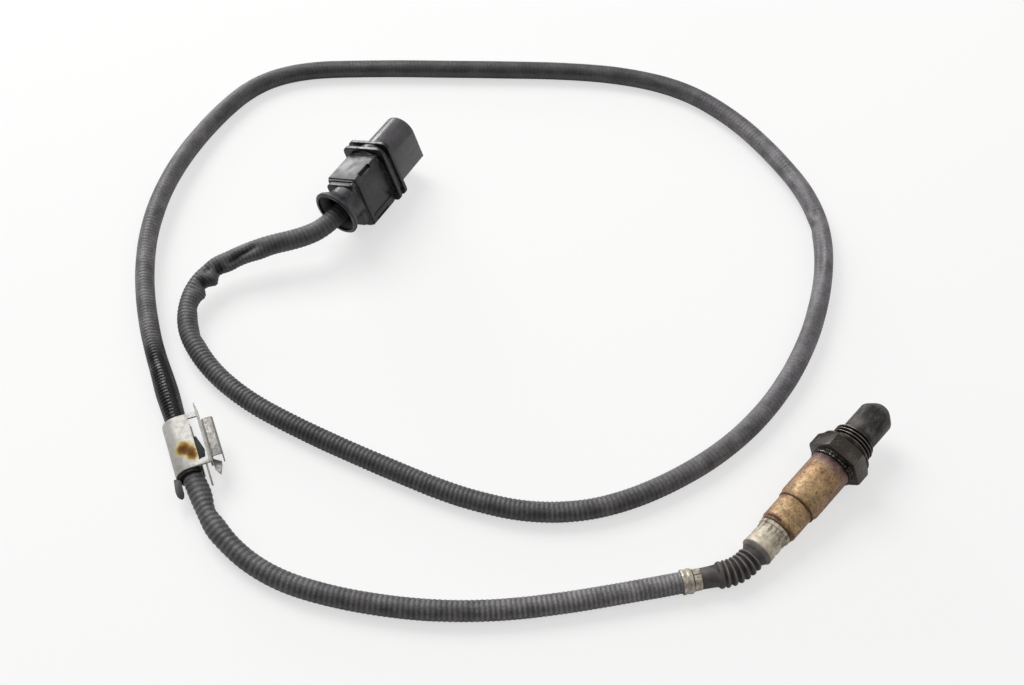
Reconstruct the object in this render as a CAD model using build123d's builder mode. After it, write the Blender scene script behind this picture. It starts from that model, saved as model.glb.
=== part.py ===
from build123d import *
import os
from math import cos, radians, sin, tan

# Five-wire exhaust oxygen sensor with its boot, ribbed lead, cable clip and plug, in millimetres.
# It lies on the plane z = 0. The thread axis runs along +X, tipped up where the hex lifts the head.
# Head sizes are (station, radius) pairs: the station runs along the thread axis from the hex face
# that the washer seats on, plus toward the tip and minus toward the lead.

# ---- driving dimensions: fits ----
SLIP = 0.05          # radial clearance of parts that are pressed or slipped together
SEAL_FIT = 0.03      # radial clearance of a wire in its seal

# ---- driving dimensions: head ----
SEAT_X = 15.3
HEX_FLATS = 22.0
HEX_HEIGHT = 7.0
HEX_TURN = 41.5      # first corner, from straight up toward -Y
HEX_FACE_R = 11.4    # where the corner bevel starts on the face toward the tip
HEX_REAR_FACE_R = 12.1
HEX_BEVEL = 1.2
HEAD_TILT = 6.15
NECK_R = 9.5
NECK_LENGTH = 2.1
NECK_GROOVE = 0.4
THREAD_R = 9.0
THREAD_LENGTH = 8.3
THREAD_CHAMFER = 0.8
RELIEF_R = 8.3        # undercut that keeps the washer on
RELIEF_END = 1.5
BORE_R = 5.05
BORE_SHOULDER = 3.3  # station of the shoulder that carries the ceramics
GUARD_SEAT = 5.3     # station of the floor that carries the protection tubes
ELEMENT_GAP_R = 3.6
SPIGOT_LENGTH = 4.4
WASHER_R = 11.2
WASHER_BORE_R = 8.6
WASHER_THICK = 1.4
WASHER_FOLD = 0.2
GUARD_R = 7.33
GUARD_WALL = 0.45
GUARD_SHOULDER = 22.0
GUARD_END = 25.4
GUARD_MOUTH_R = 4.1
GUARD_TIP = 26.1
GUARD_PORT_R = 0.7
INNER_GUARD_R = 5.2
INNER_GUARD_WALL = 0.4
INNER_GUARD_NECK = 21.5
INNER_PORTS = 8
ELEMENT_WIDTH = 4.2
ELEMENT_THICK = 1.4
ELEMENT_TIP = 19.5
ELEMENT_END = -26.0
CERAMIC_R = 5.0
POWDER_FRONT = -3.0
POWDER_REAR = -6.0
CERAMIC_REAR = -16.0
HOLDER_R = 5.4
HOLDER_REAR = -30.0
HOLDER_WINDOW = 3.8
CLAMP_WALL = 0.65
CLAMP_FRONT = -19.0
CLAMP_REAR = -25.0
SPRING_THICK = 0.25
SPRING_WIDTH = 0.8
BARREL_R = 1.1
BARREL_LENGTH = 3.4
BARREL_FRONT = -31.6
BARREL_NOSE = 0.8
SLEEVE_R = 8.7
SLEEVE_WALL = 0.6
SLEEVE_SHOULDER = -29.5
SLEEVE_END = -31.7
SMALL_SLEEVE_R = 7.65
SMALL_SLEEVE_WALL = 0.5
SMALL_SLEEVE_FRONT = -28.9
SMALL_SLEEVE_NECK = -43.3
SMALL_SLEEVE_END = -45.0
SMALL_NECK_R = 7.15
COLLAR_R = 6.5
COLLAR_BEAD_R = 6.98
COLLAR_BEAD = 1.7
COLLAR_WALL = 0.55
COLLAR_FRONT = -41.0
COLLAR_END = -56.7
COLLAR_CRIMPS = (-49.6, -53.2)
COLLAR_CRIMP_DEPTH = 0.25
GROMMET_FRONT = -43.0
BOOT_SPIGOT = 2.6
WIRE_R = 0.85
WIRE_CIRCLE = 2.0
WIRES = 5

# ---- driving dimensions: boot, ferrule and conduit ----
BOOT_TO_CORNER = 11.3
CORNER_TO_END = 19.6
BOOT_BEND = 20.0
BOOT_BORE = 3.5
BOOT_FLANGE_R = 6.67
BOOT_FLANGE = 0.9
WAIST_AT = 3.8
GROOVE_R = 4.65
RIDGE_R = 5.45
RIDGE_WIDTH = 1.45
RIDGE_LAND = 0.65
RIDGES = 6
RIDGE_FIRST = 4.9
RIDGE_PITCH = 2.32
SHOULDER_R = 5.35
BOOT_NECK_R = 4.15
BOOT_TAIL_R = 3.75
FERRULE_OVER_BOOT = 3.8
FERRULE_OVER_CONDUIT = 3.7
FERRULE_WALL = 0.5
CONDUIT_R = 4.35

# ---- driving dimensions: cable clip ----
BAND_R = 6.2
SHEET = 0.8
BAND_ABOVE = 15.0    # reach away from the sensor, from the middle of the run
BAND_BELOW = 11.2
BAND_LIP = 4.8       # how far the flat top reaches past the band's centre
HEM = 0.8
STRAP_WIDTH = 2.4
STRAP_UPPER = 13.7
STRAP_LOWER = 10.0
BLADE_WIDTH = 1.3
BLADE_IN = 8.3       # from the conduit's axis to the near edge of the blade
BLADE_TIP = 19.9
TEETH_IN = 6.6
FLANGE_DROP = 4.2
LINER_ABOVE = 15.6
LINER_BELOW = 12.4
LINER_GAP = 0.1
TAB_THICK = 0.9
TAB_RISE = 0.6       # underside of the tab over the conduit's axis
SPRING_SHEET = 0.5
SPRING_SPAN = 4.8
SPRING_RISE = 0.7
SPRING_DROP = 6.4
SPRING_ABOVE = 10.0
SPRING_BELOW = 9.4
TONGUE_RISE = 2.8

# ---- driving dimensions: plug ----
PLUG_X = -1.48
PLUG_Y = 249.05
PLUG_HEADING = 13.7
PLUG_PITCH = 2.4
PLUG_ROLL = 21.3
GASKET_DEPTH = 28.6
GASKET_BREADTH = 22.8
GASKET_CORNER = 3.0
GASKET_LIP = 1.8
GASKET_PITCH = 4.4
GASKET_WEB = 1.0
NOSE_R = 8.0
NOSE_FLAT = 13.7     # from the half round's centre to the flat end
NOSE_DOWN = -5.0     # half round's centre from the gasket's centre, down the section
NOSE_ACROSS = -1.2
NOSE_LENGTH = 20.3
NOSE_WALL = 1.6
NOSE_DRAFT = 0.4
SOCKET_FLOOR = 3.0
BODY_DEPTH = 25.8
BODY_BREADTH = 16.0
BODY_DOWN = 1.2
BODY_ACROSS = -0.4
BODY_LENGTH = 18.7
BODY_EDGE = 1.0
BODY_BEVEL = 2.2
CAVITY_WALL = 2.0
CAVITY_FRONT = -12.0
LATCH_SLOT = (8.0, 2.3)
LATCH_AT = -17.2
LATCH_DOWN = 0.7     # slot's centre below the body's top edge
PINS_DOWN = 0.0
PIN_ROWS = 2
PIN_COLUMNS = 3
PIN_ROW_PITCH = 5.0
PIN_COLUMN_PITCH = 4.4
PIN_BLADE = (1.5, 0.8)
PIN_REACH = 11.0
TERMINAL = 2.2
TERMINAL_SLOT = 2.4
PIN_BARREL_R = 1.15
CARRIER_LENGTH = 5.3
SEAL_LENGTH = 4.0
SEAL_RIB = 0.5
LOCK_SIZE = (3.0, 15.0, 1.2)
RESISTOR_SIZE = (3.2, 1.6, 1.0)
RESISTOR_DOWN = 10.4
SEAL_RIBS = 3
PIN_CRIMP = 2.4
FAN_STRAIGHT = 1.4
STOP_WALL = 1.2
SHELL_RIB = 1.0
SHELL_NECK_R = 8.5
SHELL_BASE = 3.4
MOUTH_R = 11.5
MOUTH_WALL = 1.7
MOUTH_BORE = 6.8
MOUTH_AT = -37.0     # rim of the bell mouth, along the plug's axis
MOUTH_YAW = 8.2
MOUTH_PITCH = 3.7
MOUTH_ACROSS = -0.6
MOUTH_DOWN = -1.1
CONDUIT_STOP = 7.5   # depth at which the conduit butts in the mouth
CONDUIT_DROP = 2.0
LAST_RUN = 12.0

# ---- derived frames ----
HEX_R = HEX_FLATS / 2 / cos(radians(30))
LOW_CORNER = min(abs(180 - HEX_TURN - 60 * k) for k in range(6))
SEAT_Z = (HEX_R * cos(radians(LOW_CORNER)) * cos(radians(HEAD_TILT))
          + HEX_HEIGHT * sin(radians(HEAD_TILT)))
SEAT = Vector(SEAT_X, 0, SEAT_Z)
THREAD_DIR = Vector(cos(radians(HEAD_TILT)), 0, sin(radians(HEAD_TILT)))
HEAD = Plane(origin=SEAT, x_dir=THREAD_DIR, z_dir=(0, -1, 0))
HEAD_AXIS = Axis(SEAT, THREAD_DIR)
HEX_REAR = -HEX_HEIGHT
NECK_REAR = HEX_REAR - NECK_LENGTH
SPIGOT_R = SLEEVE_R - SLEEVE_WALL - SLIP
COLLAR_BORE = COLLAR_R - COLLAR_WALL


def across(station):
    """Plane square to the thread axis: x points up the head, y toward -Y."""
    return Plane(origin=SEAT + THREAD_DIR * station, x_dir=HEAD.y_dir, z_dir=THREAD_DIR)


def wire_places(radius=WIRE_CIRCLE):
    return PolarLocations(radius, WIRES)


os.makedirs("parts", exist_ok=True)

# ---- steel housing: hex, neck ring, thread and stepped bore ----
bevel_r = HEX_FACE_R + HEX_BEVEL / tan(radians(30))
rear_bevel = (bevel_r - HEX_REAR_FACE_R) * tan(radians(30))
groove_front = HEX_REAR - 0.3
groove_rear = groove_front - 0.8
groove_floor = (groove_front + groove_rear) / 2
with BuildPart() as hex_body:
    with BuildSketch(across(HEX_REAR)):
        RegularPolygon(HEX_R, 6, rotation=HEX_TURN)
    extrude(amount=HEX_HEIGHT)
    with BuildSketch(HEAD):
        Polygon((HEX_REAR, 0), (HEX_REAR, HEX_REAR_FACE_R), (HEX_REAR + rear_bevel, bevel_r),
                (-HEX_BEVEL, bevel_r), (0, HEX_FACE_R), (0, 0), align=None)
    revolve(axis=HEAD_AXIS, mode=Mode.INTERSECT)
    with BuildSketch(HEAD):
        Polygon((NECK_REAR - SPIGOT_LENGTH, 0), (NECK_REAR - SPIGOT_LENGTH, SPIGOT_R),
                (NECK_REAR, SPIGOT_R), (NECK_REAR, NECK_R), (groove_rear, NECK_R),
                (groove_floor, NECK_R - NECK_GROOVE), (groove_front, NECK_R),
                (HEX_REAR + HEX_BEVEL, NECK_R), (-HEX_BEVEL, RELIEF_R), (RELIEF_END, RELIEF_R),
                (RELIEF_END, THREAD_R),
                (THREAD_LENGTH - THREAD_CHAMFER, THREAD_R),
                (THREAD_LENGTH, THREAD_R - THREAD_CHAMFER), (THREAD_LENGTH, 0), align=None)
    revolve(axis=HEAD_AXIS)
    with BuildSketch(HEAD):
        Polygon((NECK_REAR - SPIGOT_LENGTH, 0), (NECK_REAR - SPIGOT_LENGTH, BORE_R),
                (BORE_SHOULDER, BORE_R), (BORE_SHOULDER, ELEMENT_GAP_R),
                (GUARD_SEAT, ELEMENT_GAP_R), (GUARD_SEAT, GUARD_R + SLIP),
                (THREAD_LENGTH, GUARD_R + SLIP), (THREAD_LENGTH, 0), align=None)
    revolve(axis=HEAD_AXIS, mode=Mode.SUBTRACT)
hex_body.part.label = "hex_body"

# ---- captive crush washer: a rolled strip, folded flat ----
with BuildPart() as seal_washer:
    with BuildSketch(HEAD):
        with Locations((WASHER_THICK / 2, (WASHER_R + WASHER_BORE_R) / 2)):
            RectangleRounded(WASHER_THICK, WASHER_R - WASHER_BORE_R, WASHER_THICK * 0.4)
        with Locations((WASHER_THICK / 2, WASHER_BORE_R)):
            Rectangle(WASHER_FOLD, WASHER_R - WASHER_BORE_R, mode=Mode.SUBTRACT)
    revolve(axis=HEAD_AXIS)
seal_washer.part.label = "seal_washer"

# ---- protection tubes over the tip ----
flange_front = GUARD_SEAT + INNER_GUARD_WALL
with BuildPart() as outer_protection_tube:
    with BuildSketch(HEAD):
        Polygon((flange_front, GUARD_R), (GUARD_SHOULDER - 0.5, GUARD_R),
                (GUARD_SHOULDER + 0.4, GUARD_R - 0.4), (GUARD_END - 0.2, GUARD_MOUTH_R + GUARD_WALL),
                (GUARD_END, GUARD_MOUTH_R + GUARD_WALL - 0.2), (GUARD_END, GUARD_MOUTH_R),
                (GUARD_END - 0.4, GUARD_MOUTH_R), (GUARD_SHOULDER, GUARD_R - GUARD_WALL),
                (flange_front, GUARD_R - GUARD_WALL), align=None)
    revolve(axis=HEAD_AXIS)
outer_protection_tube.part.label = "outer_protection_tube"

nose_r = GUARD_MOUTH_R - SLIP
with BuildPart() as inner_protection_tube:
    with BuildSketch(HEAD):
        wall = INNER_GUARD_WALL
        Polygon((GUARD_SEAT, GUARD_R), (flange_front, GUARD_R), (flange_front, INNER_GUARD_R),
                (INNER_GUARD_NECK, INNER_GUARD_R), (INNER_GUARD_NECK + 0.8, nose_r),
                (GUARD_TIP - 0.5, nose_r), (GUARD_TIP, nose_r - 0.5), (GUARD_TIP, GUARD_PORT_R),
                (GUARD_TIP - wall, GUARD_PORT_R), (GUARD_TIP - wall, nose_r - wall),
                (INNER_GUARD_NECK + 0.4, nose_r - wall), (INNER_GUARD_NECK - 0.4, INNER_GUARD_R - wall),
                (GUARD_SEAT, INNER_GUARD_R - wall), align=None)
    revolve(axis=HEAD_AXIS)
    for port in range(INNER_PORTS):
        spoke = HEAD.y_dir.rotate(Axis((0, 0, 0), THREAD_DIR), 360 * port / INNER_PORTS)
        at = SEAT + THREAD_DIR * (flange_front + INNER_GUARD_NECK) / 2
        with BuildSketch(Plane(origin=at, x_dir=THREAD_DIR, z_dir=spoke)):
            Circle(GUARD_PORT_R)
        extrude(amount=INNER_GUARD_R + 1, mode=Mode.SUBTRACT)
inner_protection_tube.part.label = "inner_protection_tube"

# ---- sensing element and the ceramics packed round it ----
with BuildPart() as sensing_element:
    with BuildSketch(across(ELEMENT_END)):
        Rectangle(ELEMENT_THICK, ELEMENT_WIDTH)
    extrude(amount=ELEMENT_TIP - ELEMENT_END)
sensing_element.part.label = "sensing_element"


def packed_ring(front, rear):
    """Ceramic or powder disc with the element's slot through it."""
    with BuildPart() as ring:
        with BuildSketch(across(rear)):
            Circle(CERAMIC_R)
            Rectangle(ELEMENT_THICK + 2 * SLIP, ELEMENT_WIDTH + 2 * SLIP, mode=Mode.SUBTRACT)
        extrude(amount=front - rear)
    return ring


lower_insulator = packed_ring(BORE_SHOULDER, POWDER_FRONT)
lower_insulator.part.label = "lower_insulator"
powder_seal = packed_ring(POWDER_FRONT, POWDER_REAR)
powder_seal.part.label = "powder_seal"
upper_insulator = packed_ring(POWDER_REAR, CERAMIC_REAR)
upper_insulator.part.label = "upper_insulator"

# ---- contact holder, its clamp ring and the five spring contacts ----
with BuildPart() as contact_holder:
    with BuildSketch(across(HOLDER_REAR)):
        Circle(HOLDER_R)
        Rectangle(HOLDER_WINDOW, ELEMENT_WIDTH + 0.4, mode=Mode.SUBTRACT)
    extrude(amount=CERAMIC_REAR - HOLDER_REAR)
contact_holder.part.label = "contact_holder"

with BuildPart() as contact_clamp_ring:
    with BuildSketch(across(CLAMP_REAR)):
        Circle(HOLDER_R + SLIP + CLAMP_WALL)
        Circle(HOLDER_R + SLIP, mode=Mode.SUBTRACT)
        with Locations((HOLDER_R, 0)):
            Rectangle(4 * CLAMP_WALL, 1.2, mode=Mode.SUBTRACT)
    extrude(amount=CLAMP_FRONT - CLAMP_REAR)
contact_clamp_ring.part.label = "contact_clamp_ring"

rest = ELEMENT_THICK / 2 + SLIP + SPRING_THICK / 2
crest = HOLDER_WINDOW / 2 - SPRING_THICK
tail = BARREL_FRONT - BARREL_NOSE / 2
barrel_bore = WIRE_R + SEAL_FIT
with BuildPart() as contact_springs:
    for wire in range(WIRES):
        turn = radians(360 * wire / WIRES)
        side = 1 if cos(turn) > 0 else -1
        lateral = min(abs(WIRE_CIRCLE * sin(turn)), (ELEMENT_WIDTH - SPRING_WIDTH) / 2)
        lateral *= 1 if sin(turn) > 0 else -1
        with BuildSketch(HEAD.offset(lateral - SPRING_WIDTH / 2)):
            with BuildLine():
                Polyline((tail, side * (rest + 0.4)), (HOLDER_REAR + 3, side * (rest + 0.4)),
                         (HOLDER_REAR + 5, side * crest), (HOLDER_REAR + 8.5, side * rest),
                         (HOLDER_REAR + 11.5, side * (rest + 0.4)))
            trace(line_width=SPRING_THICK)
        extrude(amount=SPRING_WIDTH)
    with BuildSketch(across(BARREL_FRONT)):
        with wire_places():
            Circle(BARREL_R)
    extrude(amount=-BARREL_LENGTH)
    with BuildSketch(across(BARREL_FRONT - BARREL_LENGTH)):
        with wire_places():
            Circle(barrel_bore)
    extrude(amount=BARREL_LENGTH - BARREL_NOSE, mode=Mode.SUBTRACT)
contact_springs.part.label = "contact_springs"

# ---- heat-tinted shells and the crimped collar ----
with BuildPart() as lower_sleeve:
    with BuildSketch(HEAD):
        wall_r = SLEEVE_R - SLEEVE_WALL
        lip_r = SMALL_SLEEVE_R + SLIP
        Polygon((NECK_REAR, SLEEVE_R), (SLEEVE_SHOULDER, SLEEVE_R),
                (SLEEVE_END + 0.4, lip_r + 0.4), (SLEEVE_END, lip_r + 0.2), (SLEEVE_END, lip_r),
                (SLEEVE_SHOULDER - 0.3, lip_r), (SLEEVE_SHOULDER + 0.3, wall_r),
                (NECK_REAR, wall_r), align=None)
    revolve(axis=HEAD_AXIS)
lower_sleeve.part.label = "lower_sleeve"

with BuildPart() as upper_sleeve:
    with BuildSketch(HEAD):
        bore_r = SMALL_SLEEVE_R - SMALL_SLEEVE_WALL
        neck_bore = SMALL_NECK_R - SMALL_SLEEVE_WALL
        Polygon((SMALL_SLEEVE_FRONT, SMALL_SLEEVE_R), (SMALL_SLEEVE_NECK, SMALL_SLEEVE_R),
                (SMALL_SLEEVE_NECK - 0.5, SMALL_NECK_R), (SMALL_SLEEVE_END, SMALL_NECK_R),
                (SMALL_SLEEVE_END, neck_bore), (SMALL_SLEEVE_NECK - 0.3, neck_bore),
                (SMALL_SLEEVE_NECK + 0.2, bore_r), (SMALL_SLEEVE_FRONT, bore_r), align=None)
    revolve(axis=HEAD_AXIS)
upper_sleeve.part.label = "upper_sleeve"

with BuildPart() as crimp_collar:
    with BuildSketch(HEAD):
        inside_r = SMALL_NECK_R - SMALL_SLEEVE_WALL - SLIP
        bead_end = SMALL_SLEEVE_END - COLLAR_BEAD
        Polygon((COLLAR_FRONT, inside_r), (SMALL_SLEEVE_END, inside_r),
                (SMALL_SLEEVE_END, COLLAR_BEAD_R), (bead_end, COLLAR_BEAD_R),
                (bead_end - 0.3, COLLAR_R), (COLLAR_END, COLLAR_R), (COLLAR_END, COLLAR_BORE),
                (COLLAR_FRONT, COLLAR_BORE), align=None)
        for crimp in COLLAR_CRIMPS:
            Polygon((crimp - 0.9, COLLAR_R), (crimp - 0.4, COLLAR_R - COLLAR_CRIMP_DEPTH),
                    (crimp + 0.4, COLLAR_R - COLLAR_CRIMP_DEPTH), (crimp + 0.9, COLLAR_R),
                    align=None, mode=Mode.SUBTRACT)
    revolve(axis=HEAD_AXIS)
crimp_collar.part.label = "crimp_collar"

spigot_front = COLLAR_END + BOOT_SPIGOT
with BuildPart() as cable_grommet:
    with BuildSketch(across(spigot_front)):
        Circle(COLLAR_BORE - SLIP)
        with wire_places():
            Circle(WIRE_R + SEAL_FIT, mode=Mode.SUBTRACT)
    extrude(amount=GROMMET_FRONT - spigot_front)
cable_grommet.part.label = "cable_grommet"

# ---- plug frame: x along the nose, the section's x down its depth and y across its breadth ----
PLUG_DIR = Vector(1, 0, 0).rotate(Axis.Y, PLUG_PITCH).rotate(Axis.Z, PLUG_HEADING)
LEVEL = Vector(0, 1, 0).rotate(Axis.Z, PLUG_HEADING)
PLUG_ACROSS = LEVEL.rotate(Axis((0, 0, 0), PLUG_DIR), -PLUG_ROLL)
PLUG_DOWN = PLUG_ACROSS.cross(PLUG_DIR)
# the gasket's lowest rounded corner touches z = 0
PLUG_Z = (GASKET_CORNER + (GASKET_DEPTH / 2 - GASKET_CORNER) * abs(PLUG_DOWN.Z)
          + (GASKET_BREADTH / 2 - GASKET_CORNER) * abs(PLUG_ACROSS.Z))
PLUG_CENTRE = Vector(PLUG_X, PLUG_Y, PLUG_Z)

PLUG_SIDE = Plane(origin=PLUG_CENTRE, x_dir=PLUG_DIR, z_dir=PLUG_ACROSS)


def plug_at(station):
    """Plane square to the plug's axis: x runs down the section, y across it."""
    return Plane(origin=PLUG_CENTRE + PLUG_DIR * station, x_dir=PLUG_DOWN, z_dir=PLUG_DIR)


MOUTH_DIR = (PLUG_DIR.rotate(Axis((0, 0, 0), PLUG_DOWN), MOUTH_YAW)
             .rotate(Axis((0, 0, 0), PLUG_ACROSS), -MOUTH_PITCH))
MOUTH_RIM = plug_at(MOUTH_AT).from_local_coords(Vector(MOUTH_DOWN, MOUTH_ACROSS, 0))
MOUTH = Plane(origin=MOUTH_RIM, x_dir=MOUTH_DIR, z_dir=MOUTH_DIR.cross(Vector(0, 0, 1)))
MOUTH_AXIS = Axis(MOUTH_RIM, MOUTH_DIR)
neck_length = CONDUIT_STOP + STOP_WALL + 1.6
CONDUIT_END = MOUTH.from_local_coords(Vector(CONDUIT_STOP, -CONDUIT_DROP, 0))

# ---- route of the lead, as it lies ----
ROUTE = [
    (-106.5, 39.0, 4.6), (-139.0, 68.5, 4.4), (-164.0, 103.5, 4.4), (-178.5, 137.0, 4.5),
    (-176.5, 171.0, BAND_R), (-147.6, 227.0, BAND_R), (-133.0, 257.0, 6.6), (-113.6, 285.0, 7.8),
    (-90.0, 308.5, 8.0), (-59.3, 327.5, 6.8), (-23.0, 340.0, 5.0), (5.0, 343.0, 4.4),
    (27.0, 333.0, 4.4), (50.0, 310.0, 4.4), (82.0, 274.0, 4.4), (111.5, 240.5, 4.4),
    (131.0, 214.5, 4.4), (144.0, 186.0, 4.4), (145.0, 155.0, 4.4), (137.5, 124.0, 5.0),
    (124.6, 93.2, 6.2), (104.2, 71.0, 7.2), (72.5, 52.0, 6.6), (40.0, 41.0, 5.4),
    (6.0, 37.2, 4.4), (-27.5, 41.5, 4.4), (-62.0, 54.5, 4.4), (-85.0, 74.0, 4.4),
    (-100.5, 102.0, 4.4), (-111.5, 138.0, 4.4), (-120.8, 172.0, 4.4), (-127.3, 204.5, 4.5),
    (-126.0, 232.0, 5.2), (-117.5, 253.0, 7.4), (-98.0, 264.5, 10.3), (-72.0, 256.0, 13.5),
    (-53.5, 242.5, 15.8),
]
CLIP_RUN = 4         # the clip sits on the run that starts at this point

BOOT_START = SEAT + THREAD_DIR * COLLAR_END
BOOT_CORNER = BOOT_START - THREAD_DIR * BOOT_TO_CORNER
LEAD_DIR = (Vector(ROUTE[0]) - BOOT_CORNER).normalized()
CONDUIT_START = BOOT_CORNER + LEAD_DIR * CORNER_TO_END
route = [CONDUIT_START] + [Vector(p) for p in ROUTE]
route += [CONDUIT_END - MOUTH_DIR * LAST_RUN, CONDUIT_END]


def arc_radii(points):
    """0.45 of the shorter run beside each corner, over the tangent of half the turn."""
    radii = []
    for before, corner, after in zip(points, points[1:], points[2:]):
        run = min((corner - before).length, (after - corner).length)
        turn = (corner - before).get_angle(after - corner)
        radii.append(0.45 * run / tan(radians(turn) / 2))
    return radii


conduit_radii = arc_radii(route)
print("conduit radii", [round(r, 1) for r in conduit_radii])

# ---- ribbed conduit ----
with BuildPart() as conduit:
    with BuildLine() as conduit_line:
        FilletPolyline(*route, radius=conduit_radii)
    with BuildSketch(Plane(origin=route[0], z_dir=route[1] - route[0])):
        Circle(CONDUIT_R)
    sweep(path=conduit_line.line)
conduit.part.label = "conduit"
print("conduit length", round(conduit_line.wire().length, 1))

# ---- bellows boot along its bend ----
shoulder_at = RIDGE_FIRST + RIDGE_PITCH * (RIDGES - 1) + RIDGE_WIDTH
with BuildLine() as boot_line:
    FilletPolyline(BOOT_START, BOOT_CORNER, CONDUIT_START, radius=BOOT_BEND)
boot_path = boot_line.wire()
boot_length = boot_path.length
TAIL = Plane(origin=CONDUIT_START, x_dir=-LEAD_DIR, z_dir=LEAD_DIR.cross(Vector(0, 0, 1)))
TAIL_AXIS = Axis(CONDUIT_START, -LEAD_DIR)
folds_end = boot_length - shoulder_at
sunk_r = GROOVE_R - 0.3  # the rings' feet end a little inside the bent tube

with BuildPart() as bellows_boot:
    with BuildLine() as folds_line:
        FilletPolyline(BOOT_START, BOOT_CORNER, CONDUIT_START - LEAD_DIR * (folds_end - 0.2),
                       radius=BOOT_BEND)
    with BuildSketch(across(COLLAR_END)):
        Circle(GROOVE_R)
    sweep(path=folds_line.line)
    with BuildSketch(HEAD):
        Polygon((spigot_front, 0), (spigot_front, COLLAR_BORE - SLIP),
                (COLLAR_END, COLLAR_BORE - SLIP), (COLLAR_END, BOOT_FLANGE_R),
                (COLLAR_END - BOOT_FLANGE, BOOT_FLANGE_R), (COLLAR_END - WAIST_AT, sunk_r),
                (COLLAR_END - WAIST_AT, 0), align=None)
    revolve(axis=HEAD_AXIS)
    for ridge in range(RIDGES):
        along = RIDGE_FIRST + RIDGE_PITCH * ridge
        centre = boot_path.position_at(along, position_mode=PositionMode.LENGTH)
        heading = boot_path.tangent_at(along, position_mode=PositionMode.LENGTH)
        with BuildSketch(Plane(origin=centre, x_dir=heading, z_dir=heading.cross(Vector(0, 0, 1)))):
            Polygon((-RIDGE_WIDTH / 2, 0), (-RIDGE_WIDTH / 2, sunk_r), (-RIDGE_LAND / 2, RIDGE_R),
                    (RIDGE_LAND / 2, RIDGE_R), (RIDGE_WIDTH / 2, sunk_r), (RIDGE_WIDTH / 2, 0),
                    align=None)
        revolve(axis=Axis(centre, heading))
    with BuildSketch(TAIL):
        Polygon((0, 0), (0, BOOT_TAIL_R), (FERRULE_OVER_BOOT, BOOT_TAIL_R),
                (FERRULE_OVER_BOOT, BOOT_NECK_R), (folds_end - 2.2, BOOT_NECK_R + 0.2),
                (folds_end - 1.0, SHOULDER_R), (folds_end, SHOULDER_R), (folds_end + 0.5, sunk_r),
                (folds_end + 0.5, 0), align=None)
    revolve(axis=TAIL_AXIS)
    with BuildLine() as bore_line:
        FilletPolyline(SEAT + THREAD_DIR * (spigot_front + 1), BOOT_CORNER,
                       CONDUIT_START + LEAD_DIR, radius=BOOT_BEND)
    with BuildSketch(across(spigot_front + 1)):
        Circle(BOOT_BORE)
    sweep(path=bore_line.line, mode=Mode.SUBTRACT)
bellows_boot.part.label = "bellows_boot"

# ---- two-step ferrule over the boot's tail and the conduit's end ----
with BuildPart() as boot_ferrule:
    with BuildSketch(TAIL):
        tail_bore = BOOT_TAIL_R + SLIP
        lead_bore = CONDUIT_R + SLIP
        Polygon((FERRULE_OVER_BOOT, tail_bore), (FERRULE_OVER_BOOT, tail_bore + FERRULE_WALL),
                (0.8, tail_bore + FERRULE_WALL), (0.3, lead_bore + FERRULE_WALL),
                (-FERRULE_OVER_CONDUIT + 0.3, lead_bore + FERRULE_WALL),
                (-FERRULE_OVER_CONDUIT, lead_bore + FERRULE_WALL - 0.2),
                (-FERRULE_OVER_CONDUIT, lead_bore), (0, lead_bore), (0, tail_bore), align=None)
    revolve(axis=TAIL_AXIS)
boot_ferrule.part.label = "boot_ferrule"

# ---- five leads from the contacts to the conduit ----
with BuildPart() as sensor_leads:
    lead_front = BARREL_FRONT - BARREL_NOSE
    with BuildLine() as lead_line:
        FilletPolyline(SEAT + THREAD_DIR * lead_front, BOOT_CORNER, CONDUIT_START,
                       radius=BOOT_BEND)
    with BuildSketch(across(lead_front)):
        with wire_places():
            Circle(WIRE_R)
    sweep(path=lead_line.line)
sensor_leads.part.label = "sensor_leads"

# ---- cable clip: x across, y up, z along the lead toward the sensor ----
clip_from = Vector(ROUTE[CLIP_RUN])
clip_to = Vector(ROUTE[CLIP_RUN + 1])
CLIP_CENTRE = (clip_from + clip_to) * 0.5
CLIP_DIR = (clip_from - clip_to).normalized()
CLIP_ACROSS = Vector(0, 0, 1).cross(CLIP_DIR)


def clip_at(station):
    """Plane square to the lead under the clip."""
    return Plane(origin=CLIP_CENTRE + CLIP_DIR * station, x_dir=CLIP_ACROSS, z_dir=CLIP_DIR)


def clip_plan(height):
    """Level plane: x across the clip, y along the lead away from the sensor."""
    return Plane(origin=CLIP_CENTRE + Vector(0, 0, height), x_dir=CLIP_ACROSS, z_dir=(0, 0, 1))


def clip_side(offset):
    """Upright plane beside the clip: x along the lead away from the sensor, y up."""
    return Plane(origin=CLIP_CENTRE + CLIP_ACROSS * offset, x_dir=-CLIP_DIR, z_dir=CLIP_ACROSS)


def open_wedge(first, last, reach=20.0):
    """Wedge to cut out of a ring, from the first to the last angle in degrees."""
    middle = (first + last) / 2
    corners = [(reach * cos(radians(a)), reach * sin(radians(a))) for a in (first, middle, last)]
    Polygon((0, 0), *corners, align=None, mode=Mode.SUBTRACT)


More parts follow.
